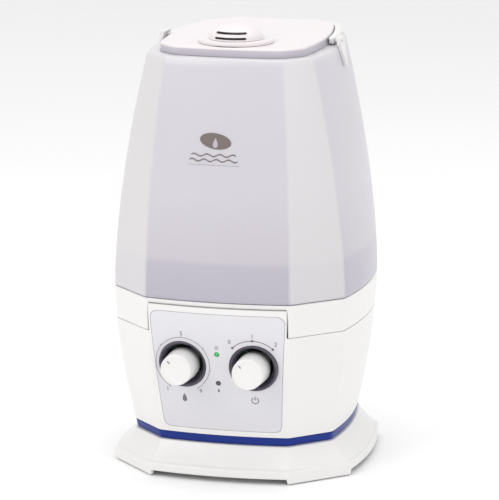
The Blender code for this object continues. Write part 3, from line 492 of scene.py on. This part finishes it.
def tank_plastic():
    """Frosted translucent plastic, lavender on the wide faces, with a painted highlight that whitens the
    corner faces, and darker in a band at the skirt.
    """
    n = Nodes("tank_plastic")
    skirt = [(0.0, (0.56, 0.53, 0.62)), (0.15, (0.60, 0.57, 0.65)), (0.175, (0.69, 0.65, 0.71))]
    upper = [(0.45, (0.75, 0.72, 0.78)), (0.97, (0.76, 0.73, 0.79)), (1.0, (0.84, 0.82, 0.84))]
    body = n.ramp(n.height_share(SEAM_Z, RIM_Z), skirt + upper)
    # painted highlight: the upright corner faces are blended towards near white, where light catches them
    body = n.blend(n.corner_highlight_share(), body, (0.86, 0.84, 0.84, 1))
    n.darken(body, n.noise(9), [(0.1, (0.97, 0.97, 0.975)), (0.9, (1.0, 1.0, 1.0))])
    n.drift(n.noise(45), 0.30, 0.33, "Roughness")
    n.settle(Transmission_Weight=0.22, IOR=1.46, Coat_Weight=0.25, Coat_Roughness=0.12)
    return n.material


def cover_plastic():
    """Warm white plate whose edge face below its top is painted greyer, darkest at its foot, as painted shade
    under the overhanging top edge.
    """
    n = Nodes("cover_plastic")
    # painted shade: the edge face greys towards its foot, in the shade of the top's overhang and the gap
    # above the tank
    edge_shade_bands = [(0.0, (0.46, 0.44, 0.50)), (0.70, (0.55, 0.52, 0.58)), (0.82, (0.80, 0.75, 0.76))]
    body = n.ramp(n.height_share(COVER_LOW[2], COVER_HIGH[2]), edge_shade_bands)
    n.darken(body, n.noise(14), [(0.1, (0.985, 0.985, 0.985)), (0.9, (1.0, 1.0, 1.0))])
    n.drift(n.noise(60), 0.33, 0.36, "Roughness")
    return n.material


def brushed_panel():
    """Silvery lavender panel with a very fine horizontal brushing."""
    n = Nodes("panel_plastic")
    fade = [(0.0, (0.68, 0.67, 0.70)), (0.5, (0.69, 0.68, 0.71)), (1.0, (0.73, 0.72, 0.75))]
    body = n.ramp(n.height_share(PANEL_LOW[2], PANEL_HIGH[2]), fade)
    n.darken(body, n.noise(60, 2, (1, 1, 40)), [(0.35, (0.975,) * 3), (0.65, (1.0,) * 3)])
    n.drift(n.noise(80, 2, (1, 1, 30)), 0.30, 0.40, "Roughness")
    n.bump(n.noise(90, 2, (1, 1, 40)), 0.05)
    n.settle(Metallic=0.05)
    return n.material


def metal(name, colour, roughness):
    """Plain metal with faint lines across its height."""
    n = Nodes(name)
    n.drift(n.noise(40, 2, (1, 1, 60)), shade(colour, 0.9), colour, "Base Color")
    n.drift(n.noise(90), roughness - 0.06, roughness + 0.08, "Roughness")
    n.settle(Metallic=1.0)
    return n.material


def foam():
    """Open dark filter foam."""
    n = Nodes("filter_foam")
    cells = n.cells(500)
    n.ramp(cells, [(0.0, (0.02, 0.02, 0.02)), (0.6, (0.15, 0.15, 0.16))], "Base Color")
    n.bump(cells, 0.8, 0.001)
    n.settle(Roughness=0.9)
    return n.material


def circuit_board():
    """Green board with paler tracks."""
    n = Nodes("circuit_board")
    cells = n.cells(220, distance="MANHATTAN")
    n.ramp(cells, [(0.25, (0.03, 0.20, 0.08)), (0.5, (0.05, 0.30, 0.12))], "Base Color")
    n.settle(Roughness=0.4)
    return n.material


SOFT_COAT = {"Coat_Weight": 0.2, "Coat_Roughness": 0.15}
GLOSSY_COAT = {"Coat_Weight": 0.25, "Coat_Roughness": 0.12}
GLOW = {"Emission_Color": (0.05, 0.75, 0.18, 1), "Emission_Strength": 0.10}
LOOKS = {
    "white_plastic": moulded("white_plastic", (0.80, 0.79, 0.78), 0.30, vary=0.012, **SOFT_COAT),
    "cover_plastic": cover_plastic(),
    "tank_plastic": tank_plastic(),
    "panel_plastic": brushed_panel(),
    "dark_plastic": moulded("dark_plastic", (0.075, 0.065, 0.095), 0.28, vary=0.15, **GLOSSY_COAT),
    "blue_plastic": moulded("blue_plastic", (0.005, 0.024, 0.21), 0.35, vary=0.10, Specular_IOR_Level=0.25),
    "grey_plastic": moulded("grey_plastic", (0.30, 0.31, 0.33), 0.5),
    "rubber": moulded("rubber", (0.035, 0.035, 0.037), 0.75, vary=0.15, grain=0.4),
    "steel": metal("steel", (0.62, 0.62, 0.64), 0.3),
    "brass": metal("brass", (0.72, 0.52, 0.24), 0.3),
    "circuit_board": circuit_board(),
    "green_light": moulded("green_light", (0.03, 0.42, 0.10), 0.15, vary=0.2, **GLOW),
    "filter_foam": foam(),
    "ceramic": moulded("ceramic", (0.80, 0.77, 0.70), 0.4),
}
PRINT = moulded("print_grey", (0.17, 0.155, 0.18), 0.5, vary=0.06)
EMBLEM = moulded("badge_grey", (0.17, 0.14, 0.13), 0.4, vary=0.05)


def dress_nodes():
    """Every CAD node gets its slot's finish; those that a finer piece replaces are hidden later."""
    for part in frame["record"]["subparts"]:
        for slot in NODES[part["node"]].material_slots:
            slot.material = LOOKS[part["material_slot"]]


# Tank ---------------------------------------------------------------------------------------------
def make_tank():
    """Shell with softened edges: outside up, over the rim, in along the ledge and down the inside."""
    edge, chamfer, start, ledge = 0.0018, 0.0006, 0.004, 0.016
    seam, rim = barrel_at(SEAM_Z), barrel_at(RIM_Z)
    inside_z = RIM_Z - WALL
    rings = [ring(seam, SEAM_Z, WALL), ring(seam, SEAM_Z, chamfer), ring(seam, SEAM_Z + chamfer)]
    rings += [ring(barrel_at(z), z) for z in heights(SEAM_Z + start, RIM_Z - edge, 30)]
    rings += crowned(rim, RIM_Z, edge)[1:]
    rings += [ring(rim, RIM_Z, ledge), ring(rim, inside_z, ledge), ring(rim, inside_z, WALL + 0.001)]
    rings += [ring(barrel_at(z), z, WALL) for z in heights(inside_z - 0.002, SEAM_Z + start, 12)]
    tank = add("tank_skin", loft(rings, closed=True), "tank_plastic", "tank", 50)
    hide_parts("tank_shell")


def make_top_cover():
    """Plate with a crowned edge and a round hole for the nozzle."""
    low, high = COVER_LOW[2], COVER_HIGH[2]
    edge, upright, lean = 0.0016, 0.0015, 0.0006
    foot = (PLATE[0] + lean, PLATE[1] + lean, PLATE[2])
    hole, hole_radius, margin = Vector((NOZZLE.x, NOZZLE.y)), 0.0215, 0.004

    def plate_ring(z, inset):
        return ring(foot if z == low else PLATE, z, inset, corner=PLATE_CORNER)

    def hole_ring(z, radius):
        points = []
        for x, y, _ in plate_ring(high, margin):
            out = (Vector((x, y)) - hole).normalized() * radius
            points.append((hole.x + out.x, hole.y + out.y, z))
        return points

    rings = [plate_ring(low, 0), plate_ring(high - edge - upright, 0)]
    rings += crowned(PLATE, high, edge, PLATE_CORNER)
    rings.append(plate_ring(high, margin + 0.001))
    rings.append(hole_ring(high, hole_radius + 0.012))
    rings.append(hole_ring(high, hole_radius + 0.0005))
    rings.append(hole_ring(high - 0.0005, hole_radius))
    rings.append(hole_ring(high - WALL, hole_radius))
    rings.append(plate_ring(high - WALL, margin))
    rings.append(plate_ring(low, WALL))
    cover = add("top_plate", loft(rings, closed=True), "cover_plastic", "tank", 50)
    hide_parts("top_cover")


# Base ---------------------------------------------------------------------------------------------
PANEL_HALVES = (0.0522, PANEL_HIGH[0])  # half width at the foot and at the top
PANEL_RADII = (0.007, 0.007, 0.009, 0.009)
BEZEL_RADIUS = 0.0212
BEZEL_BORE = 0.0163
LIGHT_HOLE = 0.0023


def panel_outline(margin=0.0):
    return rounded_quad(PANEL_LOW[2], PANEL_HIGH[2], *PANEL_HALVES, PANEL_RADII, margin)


def panel_place(x, z):
    return Vector((x, front_y(x, z), z))


def panel_holes():
    """Cutters for the bezels and the lights."""
    shapes = []
    for centre in KNOB_CENTRES.values():
        place = panel_place(centre.x, KNOB_Z)
        shapes.append(spun(rod(BEZEL_RADIUS + GAP, -0.02, 0.02), place, PANEL_TURN, 64))
    for z in LIGHTS.values():
        shapes.append(spun(rod(LIGHT_HOLE, -0.01, 0.01), panel_place(0, z), PANEL_TURN, 24))
    return shapes


def make_housing():
    """Lower shell: all round up to the parting line, and up to the seam behind the panel."""
    seat_margin, seat_depth, gland_radius = 0.00035, 0.0013, 0.0094
    levels = [*heights(HOUSING_BOTTOM_Z, PARTING_Z, 18), *heights(PARTING_Z + 0.006, TONGUE_Z, 4)]
    shape = bmesh.new()
    plan = outline(barrel_at(PARTING_Z))
    rows = [[shape.verts.new(point) for point in ring(barrel_at(z), z)] for z in levels]
    count = len(plan)
    for row, (low, high) in enumerate(zip(rows, rows[1:])):
        for i in range(count):
            j = (i + 1) % count
            if levels[row + 1] <= PARTING_Z + 1e-6 or (plan[i][2] and plan[j][2]):
                shape.faces.new((low[i], low[j], high[j], high[i]))
    for vert in [v for v in shape.verts if not v.link_faces]:
        shape.verts.remove(vert)
    housing = add("housing_skin", shape, "white_plastic", "base", 50)
    thick = housing.modifiers.new("wall", "SOLIDIFY")
    thick.thickness = WALL
    thick.offset = -1
    apply_modifiers(housing)
    seat = slab(panel_outline(seat_margin), -seat_depth, 0.004)
    gland = spun(rod(gland_radius, -0.03, 0.03), centre_of("inlet_gland"), LEVEL_TURN, 40)
    cut(housing, [seat, *panel_holes(), gland])
    sharpen(housing, 35)
    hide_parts("lower_housing")


def make_basin():
    """Basin with its outer band, which steps up over the housing's raised front."""
    floor_z, under_z, foot_z = 0.141, 0.138, 0.1392
    band_low, band_high = PARTING_Z + GAP, SEAM_Z - 2 * GAP
    front_low = TONGUE_Z + GAP
    front_inset = 0.0125
    shelf = band_high - 0.003
    edge = 0.0007
    back = WALL - 0.0002
    well_radius, pipe_radius, post_radius = 0.0165, 0.0093, 0.0045

    def level(z, inset=0.0, front=0.0):
        return ring(barrel_at(z), z, inset, front)

    def band(z, inset, front):
        return ring(barrel_at(z), z, inset, low_front=front)

    rings = [level(under_z, WALL + 0.002, front_inset), level(shelf, WALL + 0.002, front_inset)]
    rings += [level(shelf, back), band(band_low, back, front_low), band(band_low, edge, front_low)]
    rings.append(band(band_low + edge, 0, front_low + edge))
    rings.append(band(mix(band_low, band_high, 0.5), 0, front_low + edge + 0.001))
    rings.append(ring(barrel_at(band_high), band_high - edge))
    rings += [level(band_high, edge), level(band_high, WALL, front_inset)]
    rings.append(level(floor_z, WALL + 0.003, front_inset + 0.001))
    basin = add("basin_skin", loft(rings), "white_plastic", "base", 50)
    duct, stem, float_post = centre_of("air_duct"), centre_of("valve_stem"), centre_of("float_ring")
    well = spun(rod(well_radius, -0.02, 0.02), (NOZZLE.x, NOZZLE.y, floor_z))
    pipe = spun(rod(pipe_radius, -0.02, 0.02), (duct.x, duct.y, floor_z))
    cut(basin, [well, pipe])
    pin = [(0, 0.160), (0.0022, 0.160), (0.003, 0.1592), (0.003, foot_z), (0, foot_z)]
    pusher = spun(pin, (stem.x, stem.y, 0), sides=32)
    guide = spun(rod(post_radius, foot_z, 0.163), (float_post.x, float_post.y, 0), sides=32)
    cut(basin, [pusher, guide], "UNION")
    sharpen(basin, 40)
    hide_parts("upper_basin")


def make_tray():
    """Skirt that flares from under the blue ring to a rounded lip, on four corner feet."""
    top, foot_z, raised_z, lip_z = TRAY_HIGH[2], TRAY_LOW[2], 0.005, 0.012
    lip_low, lip_rise, lip_inset, lip_proud = lip_z - 0.0015, 0.002, 0.0025, 0.0002
    sag_depth, shelf, screw_depth = 0.0012, 0.010, 0.011
    boss_radius, hole_radius = 0.0043, 0.0021
    inner_top = (FOOT[0] - 0.002, FOOT[1] - 0.002, FOOT[2] - 0.001)
    deck = (FOOT[0] + 0.0002, FOOT[1] + 0.0002, FOOT[2])

    def foot_ring(inset, rise=0.0):
        """The bottom edge: low at the corners, raised along the wide faces."""
        plan = outline(TRAY, inset, corner=TRAY_CORNER)
        return [(x, y + AXIS_Y, (foot_z if corner else raised_z) + rise) for x, y, _, corner in plan]

    def plain(sizes, z, inset=0.0):
        return ring(sizes, z, inset, corner=TRAY_CORNER)

    rings = [foot_ring(0.0035), foot_ring(0.0006), foot_ring(-lip_proud, 0.0006)]
    rings.append(plain(TRAY, lip_low, -2 * lip_proud))
    for turn in edge_turns():
        inset = lip_inset * (1 - math.cos(turn)) - lip_proud
        rings.append(plain(TRAY, lip_low + lip_rise * math.sin(turn), inset))
    for share in heights(0, 1, 8)[1:]:
        sag = -sag_depth * math.sin(math.pi * share)
        z = mix(lip_z + 0.0007, top - 0.0006, share) + sag
        rings.append(plain(mix_sizes(TRAY, deck, share), z, lip_inset * (1 - share)))
    rings += [plain(inner_top, top, 0.0008), plain(inner_top, top, shelf)]
    rings += [plain(inner_top, top - 0.003, shelf), plain(inner_top, top - 0.0035, 0.002)]
    rings.append(plain(TRAY, lip_z - 0.001, 0.0045))
    tray = add("tray_skin", loft(rings, closed=True), "white_plastic", "base", 35)
    screws = [centre_of(f"cover_screw_{number}") for number in range(1, 5)]
    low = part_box("bottom_cover")[1][2] + GAP
    boss, hole = rod(boss_radius, low, top - 0.001), rod(hole_radius, low - 0.001, low + screw_depth)
    cut(tray, [spun(boss, (screw.x, screw.y, 0), sides=24) for screw in screws], "UNION")
    cut(tray, [spun(hole, (screw.x, screw.y, 0), sides=16) for screw in screws])
    sharpen(tray, 35)
    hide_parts("base_tray")


def make_blue_ring():
    """Band between the tray and the housing, with a small chamfer at its foot."""
    foot, low, high = RING_LOW[2] + 0.0001, RING_LOW[2], RING_HIGH[2]
    sizes = tuple(size - 0.0011 for size in FOOT)
    rings = [ring(sizes, foot, 0.007), ring(sizes, foot, 0.0003), ring(sizes, low + 0.0006)]
    for share in (0.25, 0.5, 0.75, 0.93):
        rings.append(ring(mix_sizes(sizes, FOOT, share), mix(low, high, share)))
    rings += [ring(FOOT, high, 0.0004), ring(FOOT, high, 0.0081)]
    band = add("blue_band", loft(rings, closed=True), "blue_plastic", "base", 50)
    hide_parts("blue_ring")


def make_panel():
    """Thin plate let into the housing's front, with holes for the bezels and the lights."""
    thick = 0.0011
    panel = add("panel_plate", slab(panel_outline(), -thick, 0.0), "panel_plastic", "base")
    cut(panel, panel_holes())
    sharpen(panel, 30)
    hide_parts("control_panel")


def make_bezels():
    """Dished, glossy ring round each knob: a thin outer lip, a slope in and a flat floor."""
    lip, slope_start, slope_top, slope_fall = 0.0007, BEZEL_RADIUS - 0.0030, -0.0014, 0.0034
    floor_z, back_z = -0.0056, -0.007
    for name, centre in KNOB_CENTRES.items():
        profile = arc(BEZEL_RADIUS - 0.0008, 0.0, lip, 0, 120, 6)
        profile += [(BEZEL_RADIUS - 0.0022, -0.0004), (slope_start, slope_top)]
        for share in (0.25, 0.5, 0.75, 1):
            radius = mix(slope_start, BEZEL_BORE + 0.0004, share)
            profile.append((radius, slope_top - slope_fall * share**0.7))
        profile += [(BEZEL_BORE, floor_z), (BEZEL_BORE, back_z), (BEZEL_RADIUS, back_z)]
        shape = spun(profile, panel_place(centre.x, KNOB_Z), PANEL_TURN, 96)
        bezel = add(f"{name}_bezel_ring", shape, "dark_plastic", "base", 30)
        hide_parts(f"{name}_knob_bezel")


def make_knobs():
    """Round knobs with a soft rim, a slightly dished face and a pointer mark."""
    bore, bore_depth, rim, draft = 0.0034, 0.004, 0.0013, 0.0004
    for name, centre in KNOB_CENTRES.items():
        low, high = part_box(f"{name}_knob")
        radius = (high[0] - low[0]) / 2
        length = high[1] - low[1]
        profile = [(0, length - 0.0009), (radius * 0.5, length - 0.0008)]
        profile += [(radius - 0.0034, length - 0.0006), (radius - 0.0028, length - 0.0003)]
        profile += arc(radius - rim - 0.0010, length - rim, rim, 95, 5, 6)
        profile += [(radius - draft, length * 0.5), (radius, 0.0006), (radius - draft, 0)]
        profile += [(bore, 0), (bore, length - bore_depth), (0, length - bore_depth)]
        place = Vector((centre.x, high[1], centre.z))
        body = f"{name}_dial"
        knob = add(f"{name}_knob_cap", spun(profile, place, LEVEL_TURN, 96), "white_plastic", body, 40)
        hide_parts(f"{name}_knob")
        make_pointer(name, centre, low[1] + 0.0006, radius, body)


def make_pointer(name, centre, y, radius, body):
    """A short raised mark near the rim, at half past ten."""
    size, rounding, way_out = (0.00075, 0.0007, 0.0030), 0.0002, 0.62
    shape = bmesh.new()
    bmesh.ops.create_cube(shape, size=1, matrix=Matrix.Diagonal((*size, 1)))
    bmesh.ops.bevel(shape, geom=shape.edges[:], offset=rounding, segments=2, affect="EDGES")
    move = Matrix.Translation((centre.x, y, centre.z)) @ Matrix.Rotation(math.radians(-45), 4, "Y")
    move = move @ Matrix.Translation((0, 0, radius * way_out))
    bmesh.ops.transform(shape, matrix=move, verts=shape.verts)
    add_mark(f"{name}_pointer", shape, PRINT, body)


def make_lights():
    """Small domed lenses that stand a little proud of the panel."""
    dome = [(0, 0.0007), (0.0007, 0.0006), (0.0012, 0.0003), (0.0015, 0.0)]
    stem = [(0.0019, -0.0004), (0.0019, -0.006), (0, -0.006)]
    for name, z in LIGHTS.items():
        look = "green_light" if name == "power_light" else "dark_plastic"
        lens = add(f"{name}_lens", spun(dome + stem, panel_place(0, z), PANEL_TURN, 32), look, "base")
        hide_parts(name)


# Nozzle -------------------------------------------------------------------------------------------
HOOD_SLOTS = ((0.0062, 0.0138), (0.0020, 0.0143))  # height above the hood's foot, half length
HOOD_STEPS = 14


def make_collar():
    """Disc with a spigot that sits in the chimney."""
    spigot, bore, thick, edge = 0.0185, 0.0165, 0.003, 0.0009
    low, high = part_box("nozzle_collar")
    radius, top = (high[0] - low[0]) / 2, high[2]
    base = top - thick
    profile = [(bore, top), *arc(radius - edge, top - edge, edge, 90, 0, 5)]
    profile += [(radius, base + 0.0003), (radius - 0.0003, base)]
    profile += [(spigot, base), (spigot, low[2]), (bore, low[2])]
    shape = spun(profile, (NOZZLE.x, NOZZLE.y, 0), sides=128)
    collar = add("nozzle_collar_disc", shape, "cover_plastic", "nozzle_base", 30)
    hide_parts("nozzle_collar")


def make_hood():
    """A soft dome with two level slots in its front."""
    wall, flange, lip = 0.0018, 0.0005, 0.0002
    slot_depth, slot_height, slot_rounding, slot_forward = 0.034, 0.0020, 0.0008, 0.023
    low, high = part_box("nozzle_hood")
    foot, rim = low[2], (high[0] - low[0]) / 2
    dome = rim - 0.0008
    rise = high[2] - foot - flange
    turns = [math.radians(90) * step / HOOD_STEPS for step in range(HOOD_STEPS + 1)]
    outside = [(dome * math.sin(a), foot + flange + rise * math.cos(a)) for a in turns]
    edge = [(rim - lip, foot + flange), (rim, foot + flange - lip), (rim, foot)]
    inside = []
    for a in reversed(turns):
        inside.append(((dome - wall) * math.sin(a), foot + (rise - wall + flange) * math.cos(a)))
    shape = spun([*outside, *edge, *inside], (NOZZLE.x, NOZZLE.y, 0), sides=128)
    hood = add("nozzle_dome", shape, "cover_plastic", "nozzle_top", 30)
    slots = []
    for up, half in HOOD_SLOTS:
        slot = bmesh.new()
        size = Matrix.Diagonal((2 * half, slot_depth, slot_height, 1))
        bmesh.ops.create_cube(slot, size=1, matrix=size)
        upright = [edge for edge in slot.edges if abs(edge.verts[0].co.y - edge.verts[1].co.y) > 0.01]
        bmesh.ops.bevel(slot, geom=upright, offset=slot_rounding, segments=3, affect="EDGES")
        place = (NOZZLE.x, NOZZLE.y - slot_forward, foot + up)
        bmesh.ops.translate(slot, vec=place, verts=slot.verts)
        slots.append(slot)
    cut(hood, slots)
    sharpen(hood, 40)
    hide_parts("nozzle_hood")


# Marks --------------------------------------------------------------------------------------------
SCALE_RADIUS = 0.0252  # of the dots and ticks round each knob
MIST_LINE_RADIUS = 0.0246
SYMBOL_Z = 0.0728
POWER_SYMBOL_RISE = 0.0061  # of the small power symbol over the green light
EMPTY_SYMBOL_DROP = 0.0062
NUMBER_SIZE = 0.0052
PRINT_LIFT, PRINT_THICK = 0.00015, 0.0003


def drop_outline(x, z, size, steps=24):
    """A water drop, point up."""
    points = []
    for step in range(steps):
        angle = math.tau * step / steps
        swell = math.sin((math.pi - abs(angle - math.pi)) / 2) ** 1.4
        width = 0.36 * size * math.sin(angle) * swell
        points.append((x + width, z - 0.12 * size + 0.5 * size * math.cos(angle)))
    return points


def wave_outline(x, z, width, periods, swell=0.0010, thick=0.0010, tail=0.0015, steps=60):
    """A wavy stroke that thins at both ends."""
    upper, lower = [], []
    for step in range(steps + 1):
        share = step / steps
        middle = z + swell * math.sin(math.tau * periods * share)
        half = thick / 2 * min(1.0, 0.25 + min(share, 1 - share) * width / tail)
        upper.append((x + (share - 0.5) * width, middle + half))
        lower.append((x + (share - 0.5) * width, middle - half))
    return lower + upper[::-1]


def strip_outlines(x, z, radius, start, end, width, steps=48):
    """Part of a circle as short quads, angles in degrees clockwise from the top."""
    quads = []
    for step in range(steps):
        a, b = (math.radians(mix(start, end, (step + k) / steps)) for k in (0, 1))
        quad = []
        for angle, reach in ((a, -0.5), (a, 0.5), (b, 0.5), (b, -0.5)):
            r = radius + reach * width
            quad.append((x + r * math.sin(angle), z + r * math.cos(angle)))
        quads.append(quad)
    return quads


def tick_outline(x, z, radius, angle, length, width):
    """A short bar that points away from a centre."""
    turn = math.radians(angle)
    out, side = (math.sin(turn), math.cos(turn)), (math.cos(turn), -math.sin(turn))
    quad = []
    for along, across in ((-0.5, -0.5), (0.5, -0.5), (0.5, 0.5), (-0.5, 0.5)):
        r = radius + along * length
        quad.append((x + r * out[0] + across * width * side[0], z + r * out[1] + across * width * side[1]))
    return quad


def box_outline(x, low, high, half):
    return [(x - half, low), (x + half, low), (x + half, high), (x - half, high)]


def panel_marks():
    """Every printed mark on the panel but the numbers, as closed (x, z) outlines."""
    mist, power = KNOB_CENTRES["mist"].x, KNOB_CENTRES["power"].x
    symbol_z = LIGHTS["power_light"] + POWER_SYMBOL_RISE
    marks = strip_outlines(mist, KNOB_Z, MIST_LINE_RADIUS, -150, 150, 0.00035, 96)
    for angle in range(-150, 151, 50):
        marks.append(tick_outline(mist, KNOB_Z, SCALE_RADIUS, angle, 0.0016, 0.0004))
    marks += strip_outlines(power, KNOB_Z, SCALE_RADIUS, -42, 42, 0.0006)
    for angle in (-44, 0, 44):
        marks.append(tick_outline(power, KNOB_Z, SCALE_RADIUS, angle, 0.0020, 0.0020))
    marks += strip_outlines(power, SYMBOL_Z, 0.0029, 32, 328, 0.0007, 32)
    marks.append(box_outline(power, SYMBOL_Z + 0.0004, SYMBOL_Z + 0.0038, 0.00035))
    marks += strip_outlines(0, symbol_z, 0.0013, 34, 326, 0.0004, 24)
    marks.append(box_outline(0, symbol_z + 0.0003, symbol_z + 0.0018, 0.0002))
    marks.append(drop_outline(mist, SYMBOL_Z, 0.0080))
    marks.append(drop_outline(0, LIGHTS["empty_light"] - EMPTY_SYMBOL_DROP, 0.0034))
    return marks


def lay_on_front(shape, lift):
    """Lays a thin shape, drawn in X and Z with its depth along Y, onto the barrel's front face."""
    for vert in shape.verts:
        vert.co.y = front_y(vert.co.x, vert.co.z, lift - vert.co.y)
    return shape


def raised_print(outlines):
    shape = bmesh.new()
    for corners in outlines:
        prism(shape, corners, PRINT_THICK)
    return lay_on_front(shape, PRINT_LIFT)


def make_print():
    """Scales, symbols and numbers on the panel, as a thin raised print."""
    add_mark("panel_print", raised_print(panel_marks()), PRINT, "base", sharp_angle=30)
    mist, power = KNOB_CENTRES["mist"].x, KNOB_CENTRES["power"].x
    numbers = [("1", mist - 0.0152, 0.0786), ("5", mist, 0.1310), ("9", mist + 0.0152, 0.0786)]
    numbers += [("0", power - 0.0200, 0.1262), ("1", power, 0.1320), ("2", power + 0.0200, 0.1255)]
    for index, (text, x, z) in enumerate(numbers):
        make_number(f"number_{index}", text, x, z)


def make_number(name, text, x, z):
    """A digit as a mesh, laid on the panel."""
    words = bpy.data.curves.new(name, "FONT")
    words.body = text
    words.size = NUMBER_SIZE
    words.align_x = "CENTER"
    words.align_y = "CENTER"
    words.extrude = PRINT_THICK / 2
    words.resolution_u = 4
    source = bpy.data.objects.new(name, words)
    SCENE.collection.objects.link(source)
    bpy.context.view_layer.update()
    mesh = bpy.data.meshes.new_from_object(source.evaluated_get(bpy.context.evaluated_depsgraph_get()))
    bpy.data.objects.remove(source, do_unlink=True)
    shape = bmesh.new()
    shape.from_mesh(mesh)
    bpy.data.meshes.remove(mesh)
    bmesh.ops.remove_doubles(shape, verts=shape.verts, dist=1e-6)
    for vert in shape.verts:
        u, v, depth = vert.co
        vert.co = (x + u, -depth, z + v)
    add_mark(name, lay_on_front(shape, 0.0), PRINT, "base", sharp_angle=30)


def make_emblem():
    """A plain tilted oval badge with a drop, two mist waves and a dotted rule on the front of the tank."""
    middle, half_width, half_height, sink = Vector((-0.0025, 0.2985)), 0.0138, 0.0066, 0.0002
    waves = ((0.2865, 0.040, 3.5), (0.2822, 0.043, 4))  # height, width, periods
    wave_x = -0.004
    dot_z, dot_step, dots = 0.2782, 0.00105, 44
    dot_half_width, dot_half_height = 0.0003, 0.00015
    tilt = Matrix.Rotation(math.radians(-8), 2)
    oval = []
    for i in range(48):
        turn = math.tau * i / 48
        point = Vector((half_width * math.cos(turn), half_height * math.sin(turn)))
        oval.append(tuple(middle + tilt @ point))
    add_mark("tank_badge", slab(oval, -sink, 0.0004), EMBLEM, "tank")
    drop = slab(drop_outline(middle.x, middle.y - 0.0002, 0.0086), -sink, 0.0007)
    add_mark("badge_drop", drop, LOOKS["cover_plastic"], "tank")
    for index, (z, width, periods) in enumerate(waves):
        wave = slab(wave_outline(wave_x, z, width, periods), -sink, 0.0003)
        add_mark(f"tank_wave_{index}", wave, EMBLEM, "tank")
    rule = []
    for number in range(dots):
        x = wave_x + (number - (dots - 1) / 2) * dot_step
        rule.append(box_outline(x, dot_z - dot_half_height, dot_z + dot_half_height, dot_half_width))
    add_mark("tank_rule", raised_print(rule), PRINT, "tank", sharp_angle=30)


def finish_handle():
    """Softens the handle and its lugs without changing their meshes."""
    for name in ("carry_handle", "handle_bracket_left", "handle_bracket_right"):
        step = bpy.data.objects[name].modifiers.new("edge", "BEVEL")
        step.width = 0.0007
        step.segments = 3
        step.limit_method = "ANGLE"
        step.angle_limit = math.radians(35)
        step.harden_normals = True


# Stage --------------------------------------------------------------------------------------------
VIEW_TURN = math.radians(14.71)
VIEW_PAN = math.radians(-0.035)
VIEW_PITCH = math.radians(12.34)
VIEW_DISTANCE = 2.812
VIEW_HEIGHT = 0.799
LENS_MM, SENSOR_MM = 234.9, 36
LIGHT_TARGET = Vector((0, 0, 0.2))


def make_floor():
    """Pale studio floor with very faint clouds."""
    shape = bmesh.new()
    bmesh.ops.create_circle(shape, cap_ends=True, segments=96, radius=6.0)
    floor = add("studio_floor", shape, None, None)
    look = Nodes("studio_floor_look")
    look.ramp(look.noise(1.2, 2), [(0.3, (0.96, 0.96, 0.96)), (0.7, (0.98, 0.98, 0.98))], "Base Color")
    look.settle(Roughness=0.6, Specular_IOR_Level=0.2)
    floor.data.materials.append(look.material)


def area_light(name, place, size, power, colour=(1, 1, 1)):
    """A square lamp aimed at the middle of the object."""
    lamp = bpy.data.lights.new(name, "AREA")
    lamp.shape = "RECTANGLE"
    lamp.size = lamp.size_y = size
    lamp.energy = power
    lamp.color = colour
    made = bpy.data.objects.new(name, lamp)
    made.location = place
    made.rotation_euler = (LIGHT_TARGET - made.location).to_track_quat("-Z", "Y").to_euler()
    SCENE.collection.objects.link(made)


def make_lighting():
    area_light("key", (-1.1, -1.5, 1.5), 1.2, 10, (1.0, 0.99, 0.98))
    area_light("fill", (1.8, -1.1, 0.9), 1.4, 5, (0.97, 0.98, 1.0))
    area_light("top", (0.1, 0.2, 2.0), 1.6, 10)
    world = bpy.data.worlds.new("studio")
    world.use_nodes = True
    back = world.node_tree.nodes["Background"]
    back.inputs["Color"].default_value = (1, 1, 1, 1)
    back.inputs["Strength"].default_value = 0.86
    SCENE.world = world
    SCENE.view_settings.view_transform = "Standard"


def make_camera():
    lens = bpy.data.cameras.new("camera")
    lens.lens = LENS_MM
    lens.sensor_width = SENSOR_MM
    lens.clip_end = 50
    camera = bpy.data.objects.new("camera", lens)
    away = (VIEW_DISTANCE * math.sin(VIEW_TURN), VIEW_DISTANCE * math.cos(VIEW_TURN))
    camera.location = (away[0], AXIS_Y - away[1], VIEW_HEIGHT)
    camera.rotation_euler = (math.radians(90) - VIEW_PITCH, 0, VIEW_TURN + VIEW_PAN)
    SCENE.collection.objects.link(camera)
    SCENE.camera = camera


def main():
    dress_nodes()
    make_tank()
    make_top_cover()
    make_housing()
    make_basin()
    make_tray()
    make_blue_ring()
    make_panel()
    make_bezels()
    make_knobs()
    make_lights()
    make_collar()
    make_hood()
    make_print()
    make_emblem()
    finish_handle()
    make_floor()
    make_lighting()
    make_camera()


main()
